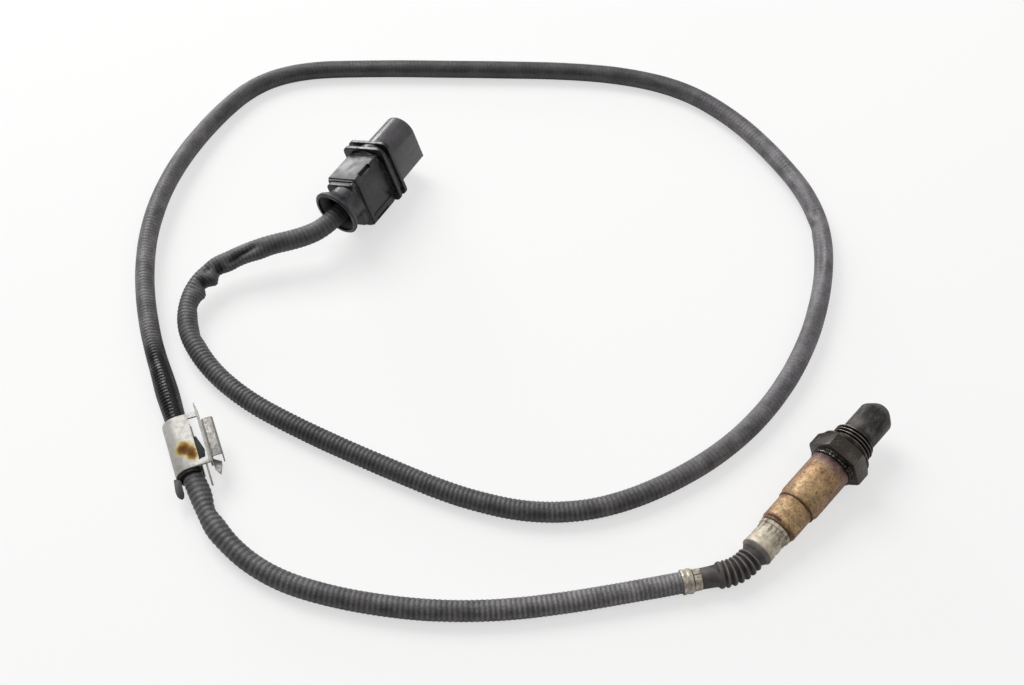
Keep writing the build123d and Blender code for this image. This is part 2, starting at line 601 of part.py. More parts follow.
sheet_under = BAND_R - SHEET
blade_out = BLADE_IN + BLADE_WIDTH
with BuildPart() as retaining_clip:
    with BuildSketch(clip_at(-BAND_ABOVE)):
        Circle(BAND_R)
        Circle(sheet_under, mode=Mode.SUBTRACT)
        open_wedge(-30, 90)
        Polygon((-0.2, sheet_under), (BAND_LIP - SHEET, sheet_under),
                (BAND_LIP - SHEET, sheet_under - HEM), (BAND_LIP, sheet_under - HEM),
                (BAND_LIP, BAND_R), (-0.2, BAND_R), align=None)
    extrude(amount=BAND_ABOVE + BAND_BELOW)
    with BuildSketch(clip_plan(sheet_under)):
        for strap in (STRAP_UPPER, -STRAP_LOWER):
            Polygon((BAND_LIP - 1, strap - STRAP_WIDTH / 2), (blade_out, strap - STRAP_WIDTH / 2),
                    (blade_out, strap + STRAP_WIDTH / 2), (BAND_LIP - 1, strap + STRAP_WIDTH / 2),
                    align=None)
        blade_end = -STRAP_LOWER - STRAP_WIDTH / 2
        Polygon((BLADE_IN, blade_end), (blade_out, blade_end), (blade_out, STRAP_UPPER + 1),
                (blade_out - 0.3, BLADE_TIP - 3.5), (BLADE_IN + 0.5, BLADE_TIP),
                (BLADE_IN + 0.1, BLADE_TIP - 1), align=None)
    extrude(amount=SHEET)
    low = sheet_under - FLANGE_DROP
    with BuildSketch(clip_side(blade_out - SHEET)):
        Polygon((SPRING_ABOVE + 1, sheet_under + 0.1), (SPRING_ABOVE + 1, low + 1),
                (SPRING_ABOVE - 1, low), (-STRAP_LOWER, low), (blade_end, low + 1.4),
                (blade_end, sheet_under + 0.1), align=None)
    extrude(amount=SHEET)
    with BuildSketch(clip_side(TEETH_IN)):
        Polygon((-9.4, sheet_under + 0.1), (blade_end, sheet_under + 0.1), (-14.6, 4.4),
                (-19.4, 1.2), (-17.5, 1.5), (-17.2, 0.4), (-15.4, 1.9), (-14.9, 0.9),
                (-13.0, 2.5), (-12.2, 1.7), (-9.4, 3.2), align=None)
    extrude(amount=SHEET)
retaining_clip.part.label = "retaining_clip"

# ---- channel spring that grips a panel's edge ----
spring_in = blade_out + 0.1
spring_out = spring_in + SPRING_SPAN
spring_top = BAND_R + SPRING_RISE
with BuildPart() as edge_spring:
    with BuildSketch(clip_at(-SPRING_ABOVE)):
        Polygon((spring_in, spring_top - SPRING_DROP), (spring_in, spring_top - 0.8),
                (spring_in + 0.8, spring_top), (spring_out - 0.8, spring_top),
                (spring_out, spring_top - 0.8), (spring_out, spring_top - SPRING_DROP),
                (spring_out - SPRING_SHEET, spring_top - SPRING_DROP),
                (spring_out - SPRING_SHEET, spring_top - 1.0), (spring_out - 1.0, spring_top - 0.5),
                (spring_in + 1.0, spring_top - 0.5), (spring_in + SPRING_SHEET, spring_top - 1.0),
                (spring_in + SPRING_SHEET, spring_top - SPRING_DROP), align=None)
    extrude(amount=SPRING_ABOVE + SPRING_BELOW)
    with BuildSketch(clip_plan(TONGUE_RISE)):
        Polygon((spring_in, 1 - SPRING_BELOW), (spring_in + SPRING_SHEET, 1 - SPRING_BELOW),
                (spring_out - 1.4, -10.6), (spring_out - 1.6, -12.5), (spring_in + 1.7, -16.8),
                (spring_in, -13.5), align=None)
    extrude(amount=SPRING_SHEET)
edge_spring.part.label = "edge_spring"

# ---- rubber liner with its tab and its flap in the clip's window ----
liner_in = CONDUIT_R + LINER_GAP
liner_out = sheet_under - SLIP
with BuildPart() as clip_liner:
    with BuildSketch(clip_at(-LINER_ABOVE)):
        Circle(liner_out)
        Circle(liner_in, mode=Mode.SUBTRACT)
        open_wedge(-22, 35)
    extrude(amount=LINER_ABOVE + LINER_BELOW)
    with BuildSketch(clip_plan(TAB_RISE)):
        Polygon((-4.6, 0.6 - LINER_BELOW), (-5.3, 0.9 - LINER_BELOW), (-7.2, 0.6 - LINER_BELOW),
                (-7.8, -17.6), (-7.5, -19.6), (-6.7, -20.9), (-5.8, -21.4), (-5.0, -20.6),
                (-4.6, -18.8), align=None)
    extrude(amount=TAB_THICK)
    with BuildSketch(clip_plan((liner_in + liner_out) * 0.5 * sin(radians(40)) - 0.45)):
        Polygon((liner_in * 0.82, -6.2), (7.4, -5.8), (7.9, -2.6), (6.8, 1.6), (6.0, 4.6),
                (liner_in * 0.82, 5.0), align=None)
    extrude(amount=0.9)
clip_liner.part.label = "clip_liner"


# ---- plug housing: D-shaped nose, gasket seat and rear body ----
def nose_outline(grow):
    """D-shaped outline of the nose, grown or shrunk, in the current sketch."""
    with Locations((NOSE_DOWN, NOSE_ACROSS)):
        Circle(NOSE_R + grow)
        Rectangle(NOSE_FLAT + grow, 2 * (NOSE_R + grow), align=(Align.MIN, Align.CENTER))


def pin_places():
    return Locations(*[
        (PINS_DOWN + (column - (PIN_COLUMNS - 1) / 2) * PIN_COLUMN_PITCH,
         NOSE_ACROSS + (row - (PIN_ROWS - 1) / 2) * PIN_ROW_PITCH)
        for column in range(PIN_COLUMNS) for row in range(PIN_ROWS)])


body_front = -(GASKET_PITCH + GASKET_LIP) - SLIP
body_rear = body_front - BODY_LENGTH
body_bottom = BODY_DOWN + BODY_DEPTH / 2
cavity = (BODY_DEPTH - 2 * CAVITY_WALL, BODY_BREADTH - 2 * CAVITY_WALL)
with BuildPart() as plug_housing:
    with BuildSketch(plug_at(body_rear)):
        with Locations((BODY_DOWN, BODY_ACROSS)):
            RectangleRounded(BODY_DEPTH, BODY_BREADTH, BODY_EDGE)
    extrude(amount=BODY_LENGTH)
    with BuildSketch(PLUG_SIDE):
        Polygon((body_front - BODY_BEVEL, body_bottom), (body_front, body_bottom - BODY_BEVEL),
                (body_front, body_bottom), align=None)
    extrude(amount=BODY_BREADTH, both=True, mode=Mode.SUBTRACT)
    with BuildSketch(PLUG_SIDE.offset(BODY_ACROSS - BODY_BREADTH / 2)):
        with Locations((LATCH_AT, body_bottom - BODY_DEPTH + LATCH_DOWN)):
            Rectangle(*LATCH_SLOT)
        with Locations((LATCH_AT, body_bottom - 1.2)):
            Rectangle(LATCH_SLOT[0] + 1.5, 0.8)
    extrude(amount=CAVITY_WALL * 0.7, mode=Mode.SUBTRACT)
    with BuildSketch(plug_at(body_front - 0.5)):
        nose_outline(0)
    extrude(amount=0.5 - body_front)
    with BuildSketch(plug_at(0)):
        nose_outline(0)
    extrude(amount=NOSE_LENGTH, taper=NOSE_DRAFT)
    with BuildSketch(plug_at(SOCKET_FLOOR)):
        nose_outline(-NOSE_WALL)
    extrude(amount=NOSE_LENGTH, mode=Mode.SUBTRACT)
    with BuildSketch(plug_at(body_rear)):
        with Locations((BODY_DOWN, BODY_ACROSS)):
            Rectangle(*cavity)
    extrude(amount=CAVITY_FRONT - body_rear, mode=Mode.SUBTRACT)
    with BuildSketch(plug_at(CAVITY_FRONT - 0.5)):
        with pin_places():
            Rectangle(TERMINAL_SLOT, TERMINAL_SLOT)
    extrude(amount=SOCKET_FLOOR - CAVITY_FRONT - 1.0, mode=Mode.SUBTRACT)
    with BuildSketch(plug_at(CAVITY_FRONT)):
        with pin_places():
            Rectangle(PIN_BLADE[0] + 2 * SLIP, PIN_BLADE[1] + 2 * SLIP)
    extrude(amount=SOCKET_FLOOR - CAVITY_FRONT + 1, mode=Mode.SUBTRACT)
plug_housing.part.label = "plug_housing"

# ---- gasket: two lips on a web that hugs the nose ----
with BuildPart() as plug_gasket:
    for lip in (0, -GASKET_PITCH):
        with BuildSketch(plug_at(lip)):
            RectangleRounded(GASKET_DEPTH, GASKET_BREADTH, GASKET_CORNER)
        extrude(amount=-GASKET_LIP)
    with BuildSketch(plug_at(0)):
        nose_outline(GASKET_WEB)
    extrude(amount=-GASKET_PITCH - GASKET_LIP)
    with BuildSketch(plug_at(1)):
        nose_outline(SLIP)
    extrude(amount=-GASKET_PITCH - GASKET_LIP - 2, mode=Mode.SUBTRACT)
plug_gasket.part.label = "plug_gasket"

# ---- backshell: flanged base, neck and flared bell mouth ----
base_rear = body_rear - SHELL_BASE
with BuildPart() as plug_backshell:
    with BuildSketch(plug_at(base_rear)):
        with Locations((BODY_DOWN - 0.6, BODY_ACROSS)):
            RectangleRounded(BODY_DEPTH - 3.4, BODY_BREADTH - 1.6, 2.5)
    extrude(amount=SHELL_BASE)
    with BuildSketch(plug_at(body_rear)):
        with Locations((BODY_DOWN, BODY_ACROSS)):
            RectangleRounded(BODY_DEPTH - 1.0, BODY_BREADTH - 1.0, BODY_EDGE)
    extrude(amount=-SHELL_RIB)
    with BuildSketch(MOUTH):
        Polygon((0, 0), (0, MOUTH_R - 0.5), (0.5, MOUTH_R), (1.5, MOUTH_R - 0.2),
                (3.0, MOUTH_R - 1.3), (4.4, SHELL_NECK_R + 0.5), (6.0, SHELL_NECK_R),
                (neck_length, SHELL_NECK_R), (neck_length, 0), align=None)
    revolve(axis=MOUTH_AXIS)
    with BuildSketch(MOUTH):
        Polygon((-0.1, 0), (-0.1, MOUTH_R - MOUTH_WALL), (1.2, MOUTH_R - MOUTH_WALL - 0.1),
                (3.2, MOUTH_BORE + 1.2), (5.2, MOUTH_BORE), (CONDUIT_STOP, MOUTH_BORE),
                (CONDUIT_STOP, 0), align=None)
    revolve(axis=MOUTH_AXIS, mode=Mode.SUBTRACT)
    with BuildSketch(Plane(origin=CONDUIT_END, x_dir=PLUG_DOWN, z_dir=MOUTH_DIR)):
        Circle(WIRE_CIRCLE + WIRE_R + 0.4)
    extrude(amount=STOP_WALL, mode=Mode.SUBTRACT)
    with BuildSketch(plug_at(body_rear)):
        with Locations((BODY_DOWN, BODY_ACROSS)):
            RectangleRounded(cavity[0] - 1.0, cavity[1] - 1.0, 1.0)
    with BuildSketch(Plane(origin=CONDUIT_END + MOUTH_DIR * STOP_WALL, x_dir=PLUG_DOWN,
                           z_dir=MOUTH_DIR)):
        RectangleRounded(7.2, 6.8, 1.0)
    loft(mode=Mode.SUBTRACT)
plug_backshell.part.label = "plug_backshell"

# ---- terminals and what holds and seals them ----
carrier_rear = CAVITY_FRONT - CARRIER_LENGTH
seal_front = carrier_rear - SLIP
seal_rear = seal_front - SEAL_LENGTH


def cavity_block(shrink):
    """Outline that fits the body's rear cavity, in the current sketch."""
    with Locations((BODY_DOWN, BODY_ACROSS)):
        Rectangle(cavity[0] - 2 * shrink, cavity[1] - 2 * shrink)


with BuildPart() as pin_carrier:
    with BuildSketch(plug_at(carrier_rear)):
        cavity_block(SLIP)
        with pin_places():
            Circle(PIN_BARREL_R + SLIP, mode=Mode.SUBTRACT)
    extrude(amount=CARRIER_LENGTH)
    with BuildSketch(plug_at(carrier_rear + 1.0)):
        with Locations((PINS_DOWN, NOSE_ACROSS)):
            Rectangle(LOCK_SIZE[1] + 2 * SLIP, LOCK_SIZE[2] + 2 * SLIP)
        with Locations((RESISTOR_DOWN, BODY_ACROSS)):
            Rectangle(RESISTOR_SIZE[2] + 2 * SLIP, RESISTOR_SIZE[1] + 2 * SLIP)
    extrude(amount=LOCK_SIZE[0] + 2 * SLIP, mode=Mode.SUBTRACT)
pin_carrier.part.label = "pin_carrier"

with BuildPart() as terminal_lock:
    with BuildSketch(plug_at(carrier_rear + 1.0 + SLIP)):
        with Locations((PINS_DOWN, NOSE_ACROSS)):
            Rectangle(LOCK_SIZE[1], LOCK_SIZE[2])
            with GridLocations(LOCK_SIZE[1] / 5, LOCK_SIZE[2], 5, 2):
                Rectangle(0.8, 0.5, mode=Mode.SUBTRACT)
    extrude(amount=LOCK_SIZE[0])
terminal_lock.part.label = "terminal_lock"

with BuildPart() as trim_resistor:
    with BuildSketch(plug_at(carrier_rear + 1.0 + SLIP)):
        with Locations((RESISTOR_DOWN, BODY_ACROSS)):
            Rectangle(RESISTOR_SIZE[2], RESISTOR_SIZE[1])
    extrude(amount=LOCK_SIZE[0])
trim_resistor.part.label = "trim_resistor"

with BuildPart() as contact_pins:
    with BuildSketch(plug_at(CAVITY_FRONT + SLIP)):
        with pin_places():
            Rectangle(*PIN_BLADE)
    extrude(amount=PIN_REACH - CAVITY_FRONT)
    with BuildSketch(plug_at(CAVITY_FRONT)):
        with pin_places():
            Rectangle(TERMINAL, TERMINAL)
    extrude(amount=SOCKET_FLOOR - CAVITY_FRONT - 1.6)
    with BuildSketch(plug_at(CAVITY_FRONT)):
        with pin_places():
            Circle(PIN_BARREL_R)
    extrude(amount=-CARRIER_LENGTH + 0.2)
    with BuildSketch(plug_at(CAVITY_FRONT - CARRIER_LENGTH + 0.2)):
        with pin_places():
            Circle(WIRE_R + SEAL_FIT)
    extrude(amount=PIN_CRIMP, mode=Mode.SUBTRACT)
contact_pins.part.label = "contact_pins"

with BuildPart() as wire_seal:
    for rib in range(SEAL_RIBS * 2 - 1):
        with BuildSketch(plug_at(seal_rear + rib * SEAL_LENGTH / (SEAL_RIBS * 2 - 1))):
            cavity_block(SLIP if rib % 2 == 0 else SEAL_RIB)
            with pin_places():
                Circle(WIRE_R + SEAL_FIT, mode=Mode.SUBTRACT)
        extrude(amount=SEAL_LENGTH / (SEAL_RIBS * 2 - 1))
wire_seal.part.label = "wire_seal"

# ---- five leads from the conduit to the terminals ----
pin_spots = [spot.position for spot in pin_places()]
lead_end = CAVITY_FRONT - CARRIER_LENGTH + 0.2 + PIN_CRIMP
FAN = Plane(origin=CONDUIT_END, x_dir=PLUG_DOWN, z_dir=MOUTH_DIR)
WIRE_TO_PIN = {0: 4, 1: 3, 2: 1, 3: 0, 4: 2}
with BuildPart() as plug_leads:
    for wire, spot in WIRE_TO_PIN.items():
        turn = radians(360 * wire / WIRES)
        start = FAN.from_local_coords(
            Vector(WIRE_CIRCLE * cos(turn), WIRE_CIRCLE * sin(turn), 0))
        target = plug_at(0).from_local_coords(Vector(pin_spots[spot].X, pin_spots[spot].Y, 0))
        with BuildLine() as fan_line:
            FilletPolyline(start, start + MOUTH_DIR * FAN_STRAIGHT,
                           target + PLUG_DIR * (seal_rear - FAN_STRAIGHT / 2),
                           target + PLUG_DIR * lead_end, radius=WIRE_R * 1.3)
        with BuildSketch(Plane(origin=start, z_dir=MOUTH_DIR)):
            Circle(WIRE_R)
        sweep(path=fan_line.line)
plug_leads.part.label = "plug_leads"

PIECES = [
    hex_body, seal_washer, outer_protection_tube, inner_protection_tube, sensing_element,
    lower_insulator, powder_seal, upper_insulator, contact_holder, contact_springs,
    contact_clamp_ring, lower_sleeve, upper_sleeve, crimp_collar, cable_grommet, sensor_leads,
    bellows_boot, boot_ferrule, conduit, retaining_clip, edge_spring, clip_liner, plug_housing,
    plug_gasket, plug_backshell, pin_carrier, terminal_lock, trim_resistor, contact_pins,
    wire_seal, plug_leads,
]
for piece in PIECES:
    export_step(piece.part, f"parts/{piece.part.label}.step")
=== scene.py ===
import bpy
import math
from types import SimpleNamespace
from mathutils import Matrix, Vector, noise


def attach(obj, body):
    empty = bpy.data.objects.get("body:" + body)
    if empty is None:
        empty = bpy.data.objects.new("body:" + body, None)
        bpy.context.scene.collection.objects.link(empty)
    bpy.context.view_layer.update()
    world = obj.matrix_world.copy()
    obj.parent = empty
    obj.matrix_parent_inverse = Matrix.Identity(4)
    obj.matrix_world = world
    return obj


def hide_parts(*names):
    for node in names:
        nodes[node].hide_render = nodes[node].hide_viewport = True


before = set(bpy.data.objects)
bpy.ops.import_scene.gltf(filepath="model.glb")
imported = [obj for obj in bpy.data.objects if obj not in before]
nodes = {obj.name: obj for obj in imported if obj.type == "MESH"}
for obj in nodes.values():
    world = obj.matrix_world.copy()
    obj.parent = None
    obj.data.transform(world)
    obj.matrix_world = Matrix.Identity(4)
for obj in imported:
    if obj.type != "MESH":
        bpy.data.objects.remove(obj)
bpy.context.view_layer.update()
MM = 0.001


# ---- table, lamps and camera ----
# A white laminate table top in a white room, lit by a wide soft lamp and a small low one at the
# back left and a weak one at the front right, with a dark card on the near side. It is stage, not
# part of the sensor, and keeps its soft shadows.
def colour(tint):
    """Linear RGBA of an sRGB hex value such as "#8a6a4a"; a number is a grey level as it is."""
    if not isinstance(tint, str):
        return (tint, tint, tint, 1.0)
    parts = [int(tint[i:i + 2], 16) / 255 for i in (1, 3, 5)]
    linear = [p / 12.92 if p <= 0.04045 else ((p + 0.055) / 1.055) ** 2.4 for p in parts]
    return (*linear, 1.0)


def feed(tree, node, inputs):
    """Sets a node's inputs, by socket name or number, to values or hex colours, or links them to
    outputs or to nodes, of which the first output in use is taken."""
    for name, value in inputs.items():
        if isinstance(value, bpy.types.Node):
            value = next(out for out in value.outputs if out.enabled)
        if isinstance(value, bpy.types.NodeSocket):
            tree.links.new(value, node.inputs[name])
        else:
            node.inputs[name].default_value = colour(value) if isinstance(value, str) else value


def add_node(tree, kind, inputs=None, stops=(), **settings):
    """Adds a shader node with its settings and inputs; a ramp's stops are (place, colour)."""
    new = tree.nodes.new("ShaderNode" + kind)
    for name, value in settings.items():
        setattr(new, name, value)
    feed(tree, new, inputs or {})
    if stops:
        while len(new.color_ramp.elements) < len(stops):
            new.color_ramp.elements.new(0.5)
        for stop, (at, tint) in zip(new.color_ramp.elements, stops):
            stop.position = at
            stop.color = colour(tint)
    return new


def new_tree(name):
    """A material named for what the surface is, with its empty node tree."""
    made = bpy.data.materials.new(name)
    made.use_nodes = True
    made.node_tree.nodes.clear()
    return made, made.node_tree


def new_object(name, data):
    made = bpy.data.objects.new(name, data)
    bpy.context.scene.collection.objects.link(made)
    return made


def pick_only(*pieces):
    """Leaves edit mode and selects only these pieces, the last of them active."""
    if bpy.context.object and bpy.context.object.mode != "OBJECT":
        bpy.ops.object.mode_set(mode="OBJECT")
    bpy.ops.object.select_all(action="DESELECT")
    for piece in pieces:
        piece.select_set(True)
        bpy.context.view_layer.objects.active = piece


def start_from(primitive, name, **sizes):
    """Adds a primitive with nothing else selected, to be shaped into the named piece."""
    pick_only()
    primitive(**sizes)
    bpy.context.object.name = name
    return bpy.context.object


TABLE_SIZE = 8.0
TABLE_DROP = 0.14 * MM
SEEN_SELF_LIT = 0.62
table = start_from(bpy.ops.mesh.primitive_plane_add, "table_top", size=TABLE_SIZE,
                   location=(0, 0.15, -TABLE_DROP))
laminate, tree = new_tree("white_laminate")
matt_white = add_node(tree, "BsdfPrincipled",
                      {"Base Color": "#f6f6f5", "Roughness": 0.8, "Specular IOR Level": 0.2})
# the camera sees the laminate more than half lit by itself, which keeps its shadows pale
pale = add_node(tree, "Emission", {"Color": "#ffffff"})
ray = add_node(tree, "LightPath").outputs["Is Camera Ray"]
to_camera = add_node(tree, "Math", {0: ray, 1: SEEN_SELF_LIT}, operation="MULTIPLY")
shown = add_node(tree, "MixShader", {0: to_camera, 1: matt_white, 2: pale})
add_node(tree, "OutputMaterial", {"Surface": shown})
table.data.materials.append(laminate)

CAMERA_AT = Vector((-0.32627, -0.13185, 0.52996))
CAMERA_LOOK = Vector((-0.02647, 0.1429, 0.0))
UPWARD = Vector((0, 0, 1))
bpy.ops.object.camera_add(location=CAMERA_AT)
camera = bpy.context.object
view = CAMERA_LOOK - CAMERA_AT
camera.rotation_euler = view.to_track_quat("-Z", "Y").to_euler()
camera.data.lens = 54.0
camera.data.sensor_width = 36.0
bpy.context.scene.camera = camera
RIGHT = view.normalized().cross(UPWARD).normalized()
AWAY = UPWARD.cross(RIGHT)

# soft square lamps, each placed in metres to the right, away and up from the table's middle as
# the camera sees it, with its size in metres, power in watts and tint
for name, right, away, up, size, power, tint in (
        ("window_lamp", -1.0, 1.35, 1.9, 1.5, 44.0, "#ffffff"),
        ("low_window_lamp", -0.85, 1.75, 0.38, 0.5, 9.0, "#ffffff"),
        ("fill_lamp", 1.2, -0.9, 2.2, 1.6, 9.0, "#fffcf8")):
    place = CAMERA_LOOK + RIGHT * right + AWAY * away + Vector((0, 0, up))
    bpy.ops.object.light_add(type="AREA", location=place)
    lamp = bpy.context.object
    lamp.name = name
    lamp.data.size = size
    lamp.data.energy = power
    lamp.data.color = colour(tint)[:3]
    lamp.rotation_euler = (CAMERA_LOOK - place).to_track_quat("-Z", "Y").to_euler()

# the card shades the sides that face the camera, as the dark end of a room would
CARD_SIZE = (4.0, 1.8, 1.0, 1.0)
card = start_from(bpy.ops.mesh.primitive_plane_add, "dark_card", size=1)
card.data.transform(Matrix.Diagonal(CARD_SIZE))
card.location = CAMERA_LOOK - AWAY * 1.1 + Vector((0, 0, 0.85))
card.rotation_euler = AWAY.to_track_quat("Z", "Y").to_euler()
felt, tree = new_tree("dark_felt_card")
dull = add_node(tree, "BsdfPrincipled", {"Base Color": "#201f20", "Roughness": 0.95})
clear = add_node(tree, "BsdfTransparent")
ray = add_node(tree, "LightPath").outputs["Is Camera Ray"]
unseen = add_node(tree, "MixShader", {0: ray, 1: dull, 2: clear})
add_node(tree, "OutputMaterial", {"Surface": unseen})
card.data.materials.append(felt)

ROOM_LEVEL = 0.46
SEEN_LEVEL = 0.95
room = bpy.data.worlds.new("white_room")
bpy.context.scene.world = room
room.use_nodes = True
tree = room.node_tree
tree.nodes.clear()
ray = add_node(tree, "LightPath").outputs["Is Camera Ray"]
lit = add_node(tree, "Background", {"Color": "#fdfcfc", "Strength": ROOM_LEVEL})
seen = add_node(tree, "Background", {"Color": "#ffffff", "Strength": SEEN_LEVEL})
seen_by = add_node(tree, "MixShader", {0: ray, 1: lit, 2: seen})
add_node(tree, "OutputWorld", {"Surface": seen_by})
bpy.context.scene.view_settings.view_transform = "Standard"


# ---- ribbed conduit ----
# The five leads run in a corrugated sleeve of black rubber-coated braid, 8.7 mm across and about
# 1.3 m long. It is crimped in the ferrule behind the boot, pushed into the plug's mouth, creased
# where it has been bent sharply, and glossy where the coat is thick beside the clip.
CONDUIT_ROUTE = [
    (-0.06822, 0.01145, 0.00519), (-0.1065, 0.039, 0.0046), (-0.139, 0.0685, 0.0044),
    (-0.164, 0.1035, 0.0044), (-0.1785, 0.137, 0.0045), (-0.1765, 0.171, 0.0062),
    (-0.1476, 0.227, 0.0062), (-0.133, 0.257, 0.0066), (-0.1136, 0.285, 0.0078),
    (-0.09, 0.3085, 0.008), (-0.0593, 0.3275, 0.0068), (-0.023, 0.34, 0.005),
    (0.005, 0.343, 0.0044), (0.027, 0.333, 0.0044), (0.05, 0.31, 0.0044),
    (0.082, 0.274, 0.0044), (0.1115, 0.2405, 0.0044), (0.131, 0.2145, 0.0044),
    (0.144, 0.186, 0.0044), (0.145, 0.155, 0.0044), (0.1375, 0.124, 0.005),
    (0.1246, 0.0932, 0.0062), (0.1042, 0.071, 0.0072), (0.0725, 0.052, 0.0066),
    (0.04, 0.041, 0.0054), (0.006, 0.0372, 0.0044), (-0.0275, 0.0415, 0.0044),
    (-0.062, 0.0545, 0.0044), (-0.085, 0.074, 0.0044), (-0.1005, 0.102, 0.0044),
    (-0.1115, 0.138, 0.0044), (-0.1208, 0.172, 0.0044), (-0.1273, 0.2045, 0.0045),
    (-0.126, 0.232, 0.0052), (-0.1175, 0.253, 0.0074), (-0.098, 0.2645, 0.0103),
    (-0.072, 0.256, 0.0135), (-0.0535, 0.2425, 0.0158), (-0.04162, 0.23959, 0.01705),
    (-0.02975, 0.24113, 0.01789),
]
CONDUIT_R = 4.35 * MM
RIB_SIDES = 30
SHORTEST_STEP = 0.6 * MM
# the ribs along the run, as (station in m, mm): wide apart before the clip, close beside it, deep
# in the glossy stretch and the inner loop, and nearly ironed out where the sleeve is stretched
RIB_PITCHES = [(0.0, 1.65), (0.04, 1.9), (0.09, 2.05), (0.14, 2.1), (0.18, 2.45), (0.23, 2.4),
               (0.25, 1.6), (0.33, 1.65), (0.38, 1.9), (1.18, 1.95), (1.21, 1.6), (1.25, 1.85),
               (1.3, 2.0)]
RIB_DEPTHS = [(0.0, 0.2), (0.06, 0.26), (0.16, 0.22), (0.24, 0.36), (0.25, 0.6), (0.292, 0.6),
              (0.3, 0.28), (0.35, 0.24), (0.4, 0.12), (0.5, 0.08), (0.7, 0.05), (0.73, 0.14),
              (0.78, 0.06), (0.82, 0.16), (0.87, 0.08), (0.95, 0.1), (1.0, 0.26), (1.15, 0.4),
              (1.2, 0.26), (1.3, 0.2)]
GLOSSY_FROM, GLOSSY_TO = 0.243, 0.291
# how quickly the slack, the ripple and the unevenness of the ribs change along the run, per metre
SLACK_RATE, RIPPLE_RATE, UNEVEN_RATE = 55, 170, 60
# station, turn from the top toward the right-hand side, depth, half-length and half-turn of each
# dent, in metres, radians and mm; a negative depth is a bulge
CREASES = [
    (0.196, -1.5, -0.6, 6, 0.8), (0.204, 1.45, 1.1, 4.5, 0.7), (0.215, 1.4, -0.8, 7, 0.8),
    (0.267, -0.4, -0.95, 13, 2.4), (0.2975, 0.4, 0.5, 3, 0.7), (0.43, 0.2, 0.5, 14, 0.6),
    (0.52, -0.2, 0.6, 16, 0.5), (0.66, 0.8, 0.6, 8, 0.6), (0.715, 0.3, 0.5, 12, 0.6),
    (0.755, 0.5, 0.7, 16, 0.35), (0.787, 0.3, 1, 3.5, 0.6), (0.793, 1.3, 1, 3.5, 0.7),
    (0.796, -0.3, -0.5, 3, 0.5), (0.814, 0.42, 1.1, 15, 0.3), (0.814, -0.1, -0.35, 15, 0.28),
    (0.82, 1.3, 0.5, 14, 0.5), (0.842, -0.8, 0.6, 9, 0.5), (1.188, 1.3, 0.6, 3, 0.6),
    (1.205, 1.4, 0.8, 2.6, 0.7), (1.2125, 1.7, -1.5, 2.6, 0.8), (1.2125, 0.2, 0.6, 2, 0.5),
    (1.2175, 1.2, 2, 1.5, 0.9), (1.2225, 1.7, -2.4, 2.8, 0.8), (1.2235, 0.1, 1.3, 2.2, 0.6),
    (1.228, 1.3, 2.3, 1.7, 0.9), (1.229, -0.5, -0.5, 4, 0.6), (1.234, 1.7, -0.6, 3, 0.6),
    (1.236, 0.9, 1.7, 3.5, 0.4), (1.241, 0.65, 1.6, 4, 0.35), (1.246, 0.45, 1.2, 3.5, 0.4),
    (1.248, 1.5, -0.9, 5, 0.8), (1.26, 1.6, -0.45, 22, 1.8), (1.19, 0, -0.35, 14, 2.5),
]
# the share of dust, and how much of it keeps to the ridges, from the start to the end; the more it
# keeps to them, the more the ridges carry a painted highlight and the grooves painted shade
DUST_ALONG = [(0.0, 0.9), (0.03, 0.75), (0.08, 0.42), (0.16, 0.3), (0.22, 0.4), (0.26, 0.55),
              (0.32, 0.42), (0.38, 0.2), (0.46, 0.2), (0.52, 0.32), (0.58, 0.62), (0.66, 0.62),
              (0.72, 0.5), (0.8, 0.28), (0.86, 0.16), (0.9, 0.3), (0.95, 0.4), (1.0, 0.22)]
RIBBED_ALONG = [(0.0, 0.55), (0.06, 0.8), (0.16, 0.75), (0.24, 0.6), (0.3, 0.25), (0.6, 0.1),
                (0.72, 0.25), (0.77, 0.7), (0.92, 0.95), (0.95, 0.5), (1.0, 0.4)]


def axis_curve(name, points):
    """Quadratic NURBS with the points as its control points, as a curve without a bevel."""
    line = bpy.data.curves.new(name, "CURVE")
    line.dimensions = "3D"
    spline = line.splines.new("NURBS")
    spline.points.add(len(points) - 1)
    for point, place in zip(spline.points, points):
        point.co = (*place, 1.0)
    spline.order_u = 3
    spline.use_endpoint_u = True
    line.resolution_u = 24
    return new_object(name, line)


conduit_line = axis_curve("conduit_line", CONDUIT_ROUTE)
line_mesh = bpy.data.meshes.new_from_object(conduit_line)
conduit_path = [v.co.copy() for v in line_mesh.vertices]
bpy.data.meshes.remove(line_mesh)
bpy.data.objects.remove(conduit_line)
conduit_runs = [0.0]
for start, end in zip(conduit_path, conduit_path[1:]):
    conduit_runs.append(conduit_runs[-1] + (end - start).length)
conduit_length = conduit_runs[-1]


def along_run(table, station):
    """Value at the station, drawn straight between the table's stations, in metres."""
    for (start, first), (end, last) in zip(table, table[1:]):
        if station <= end:
            return (first + (last - first) * (station - start) / (end - start)) * MM


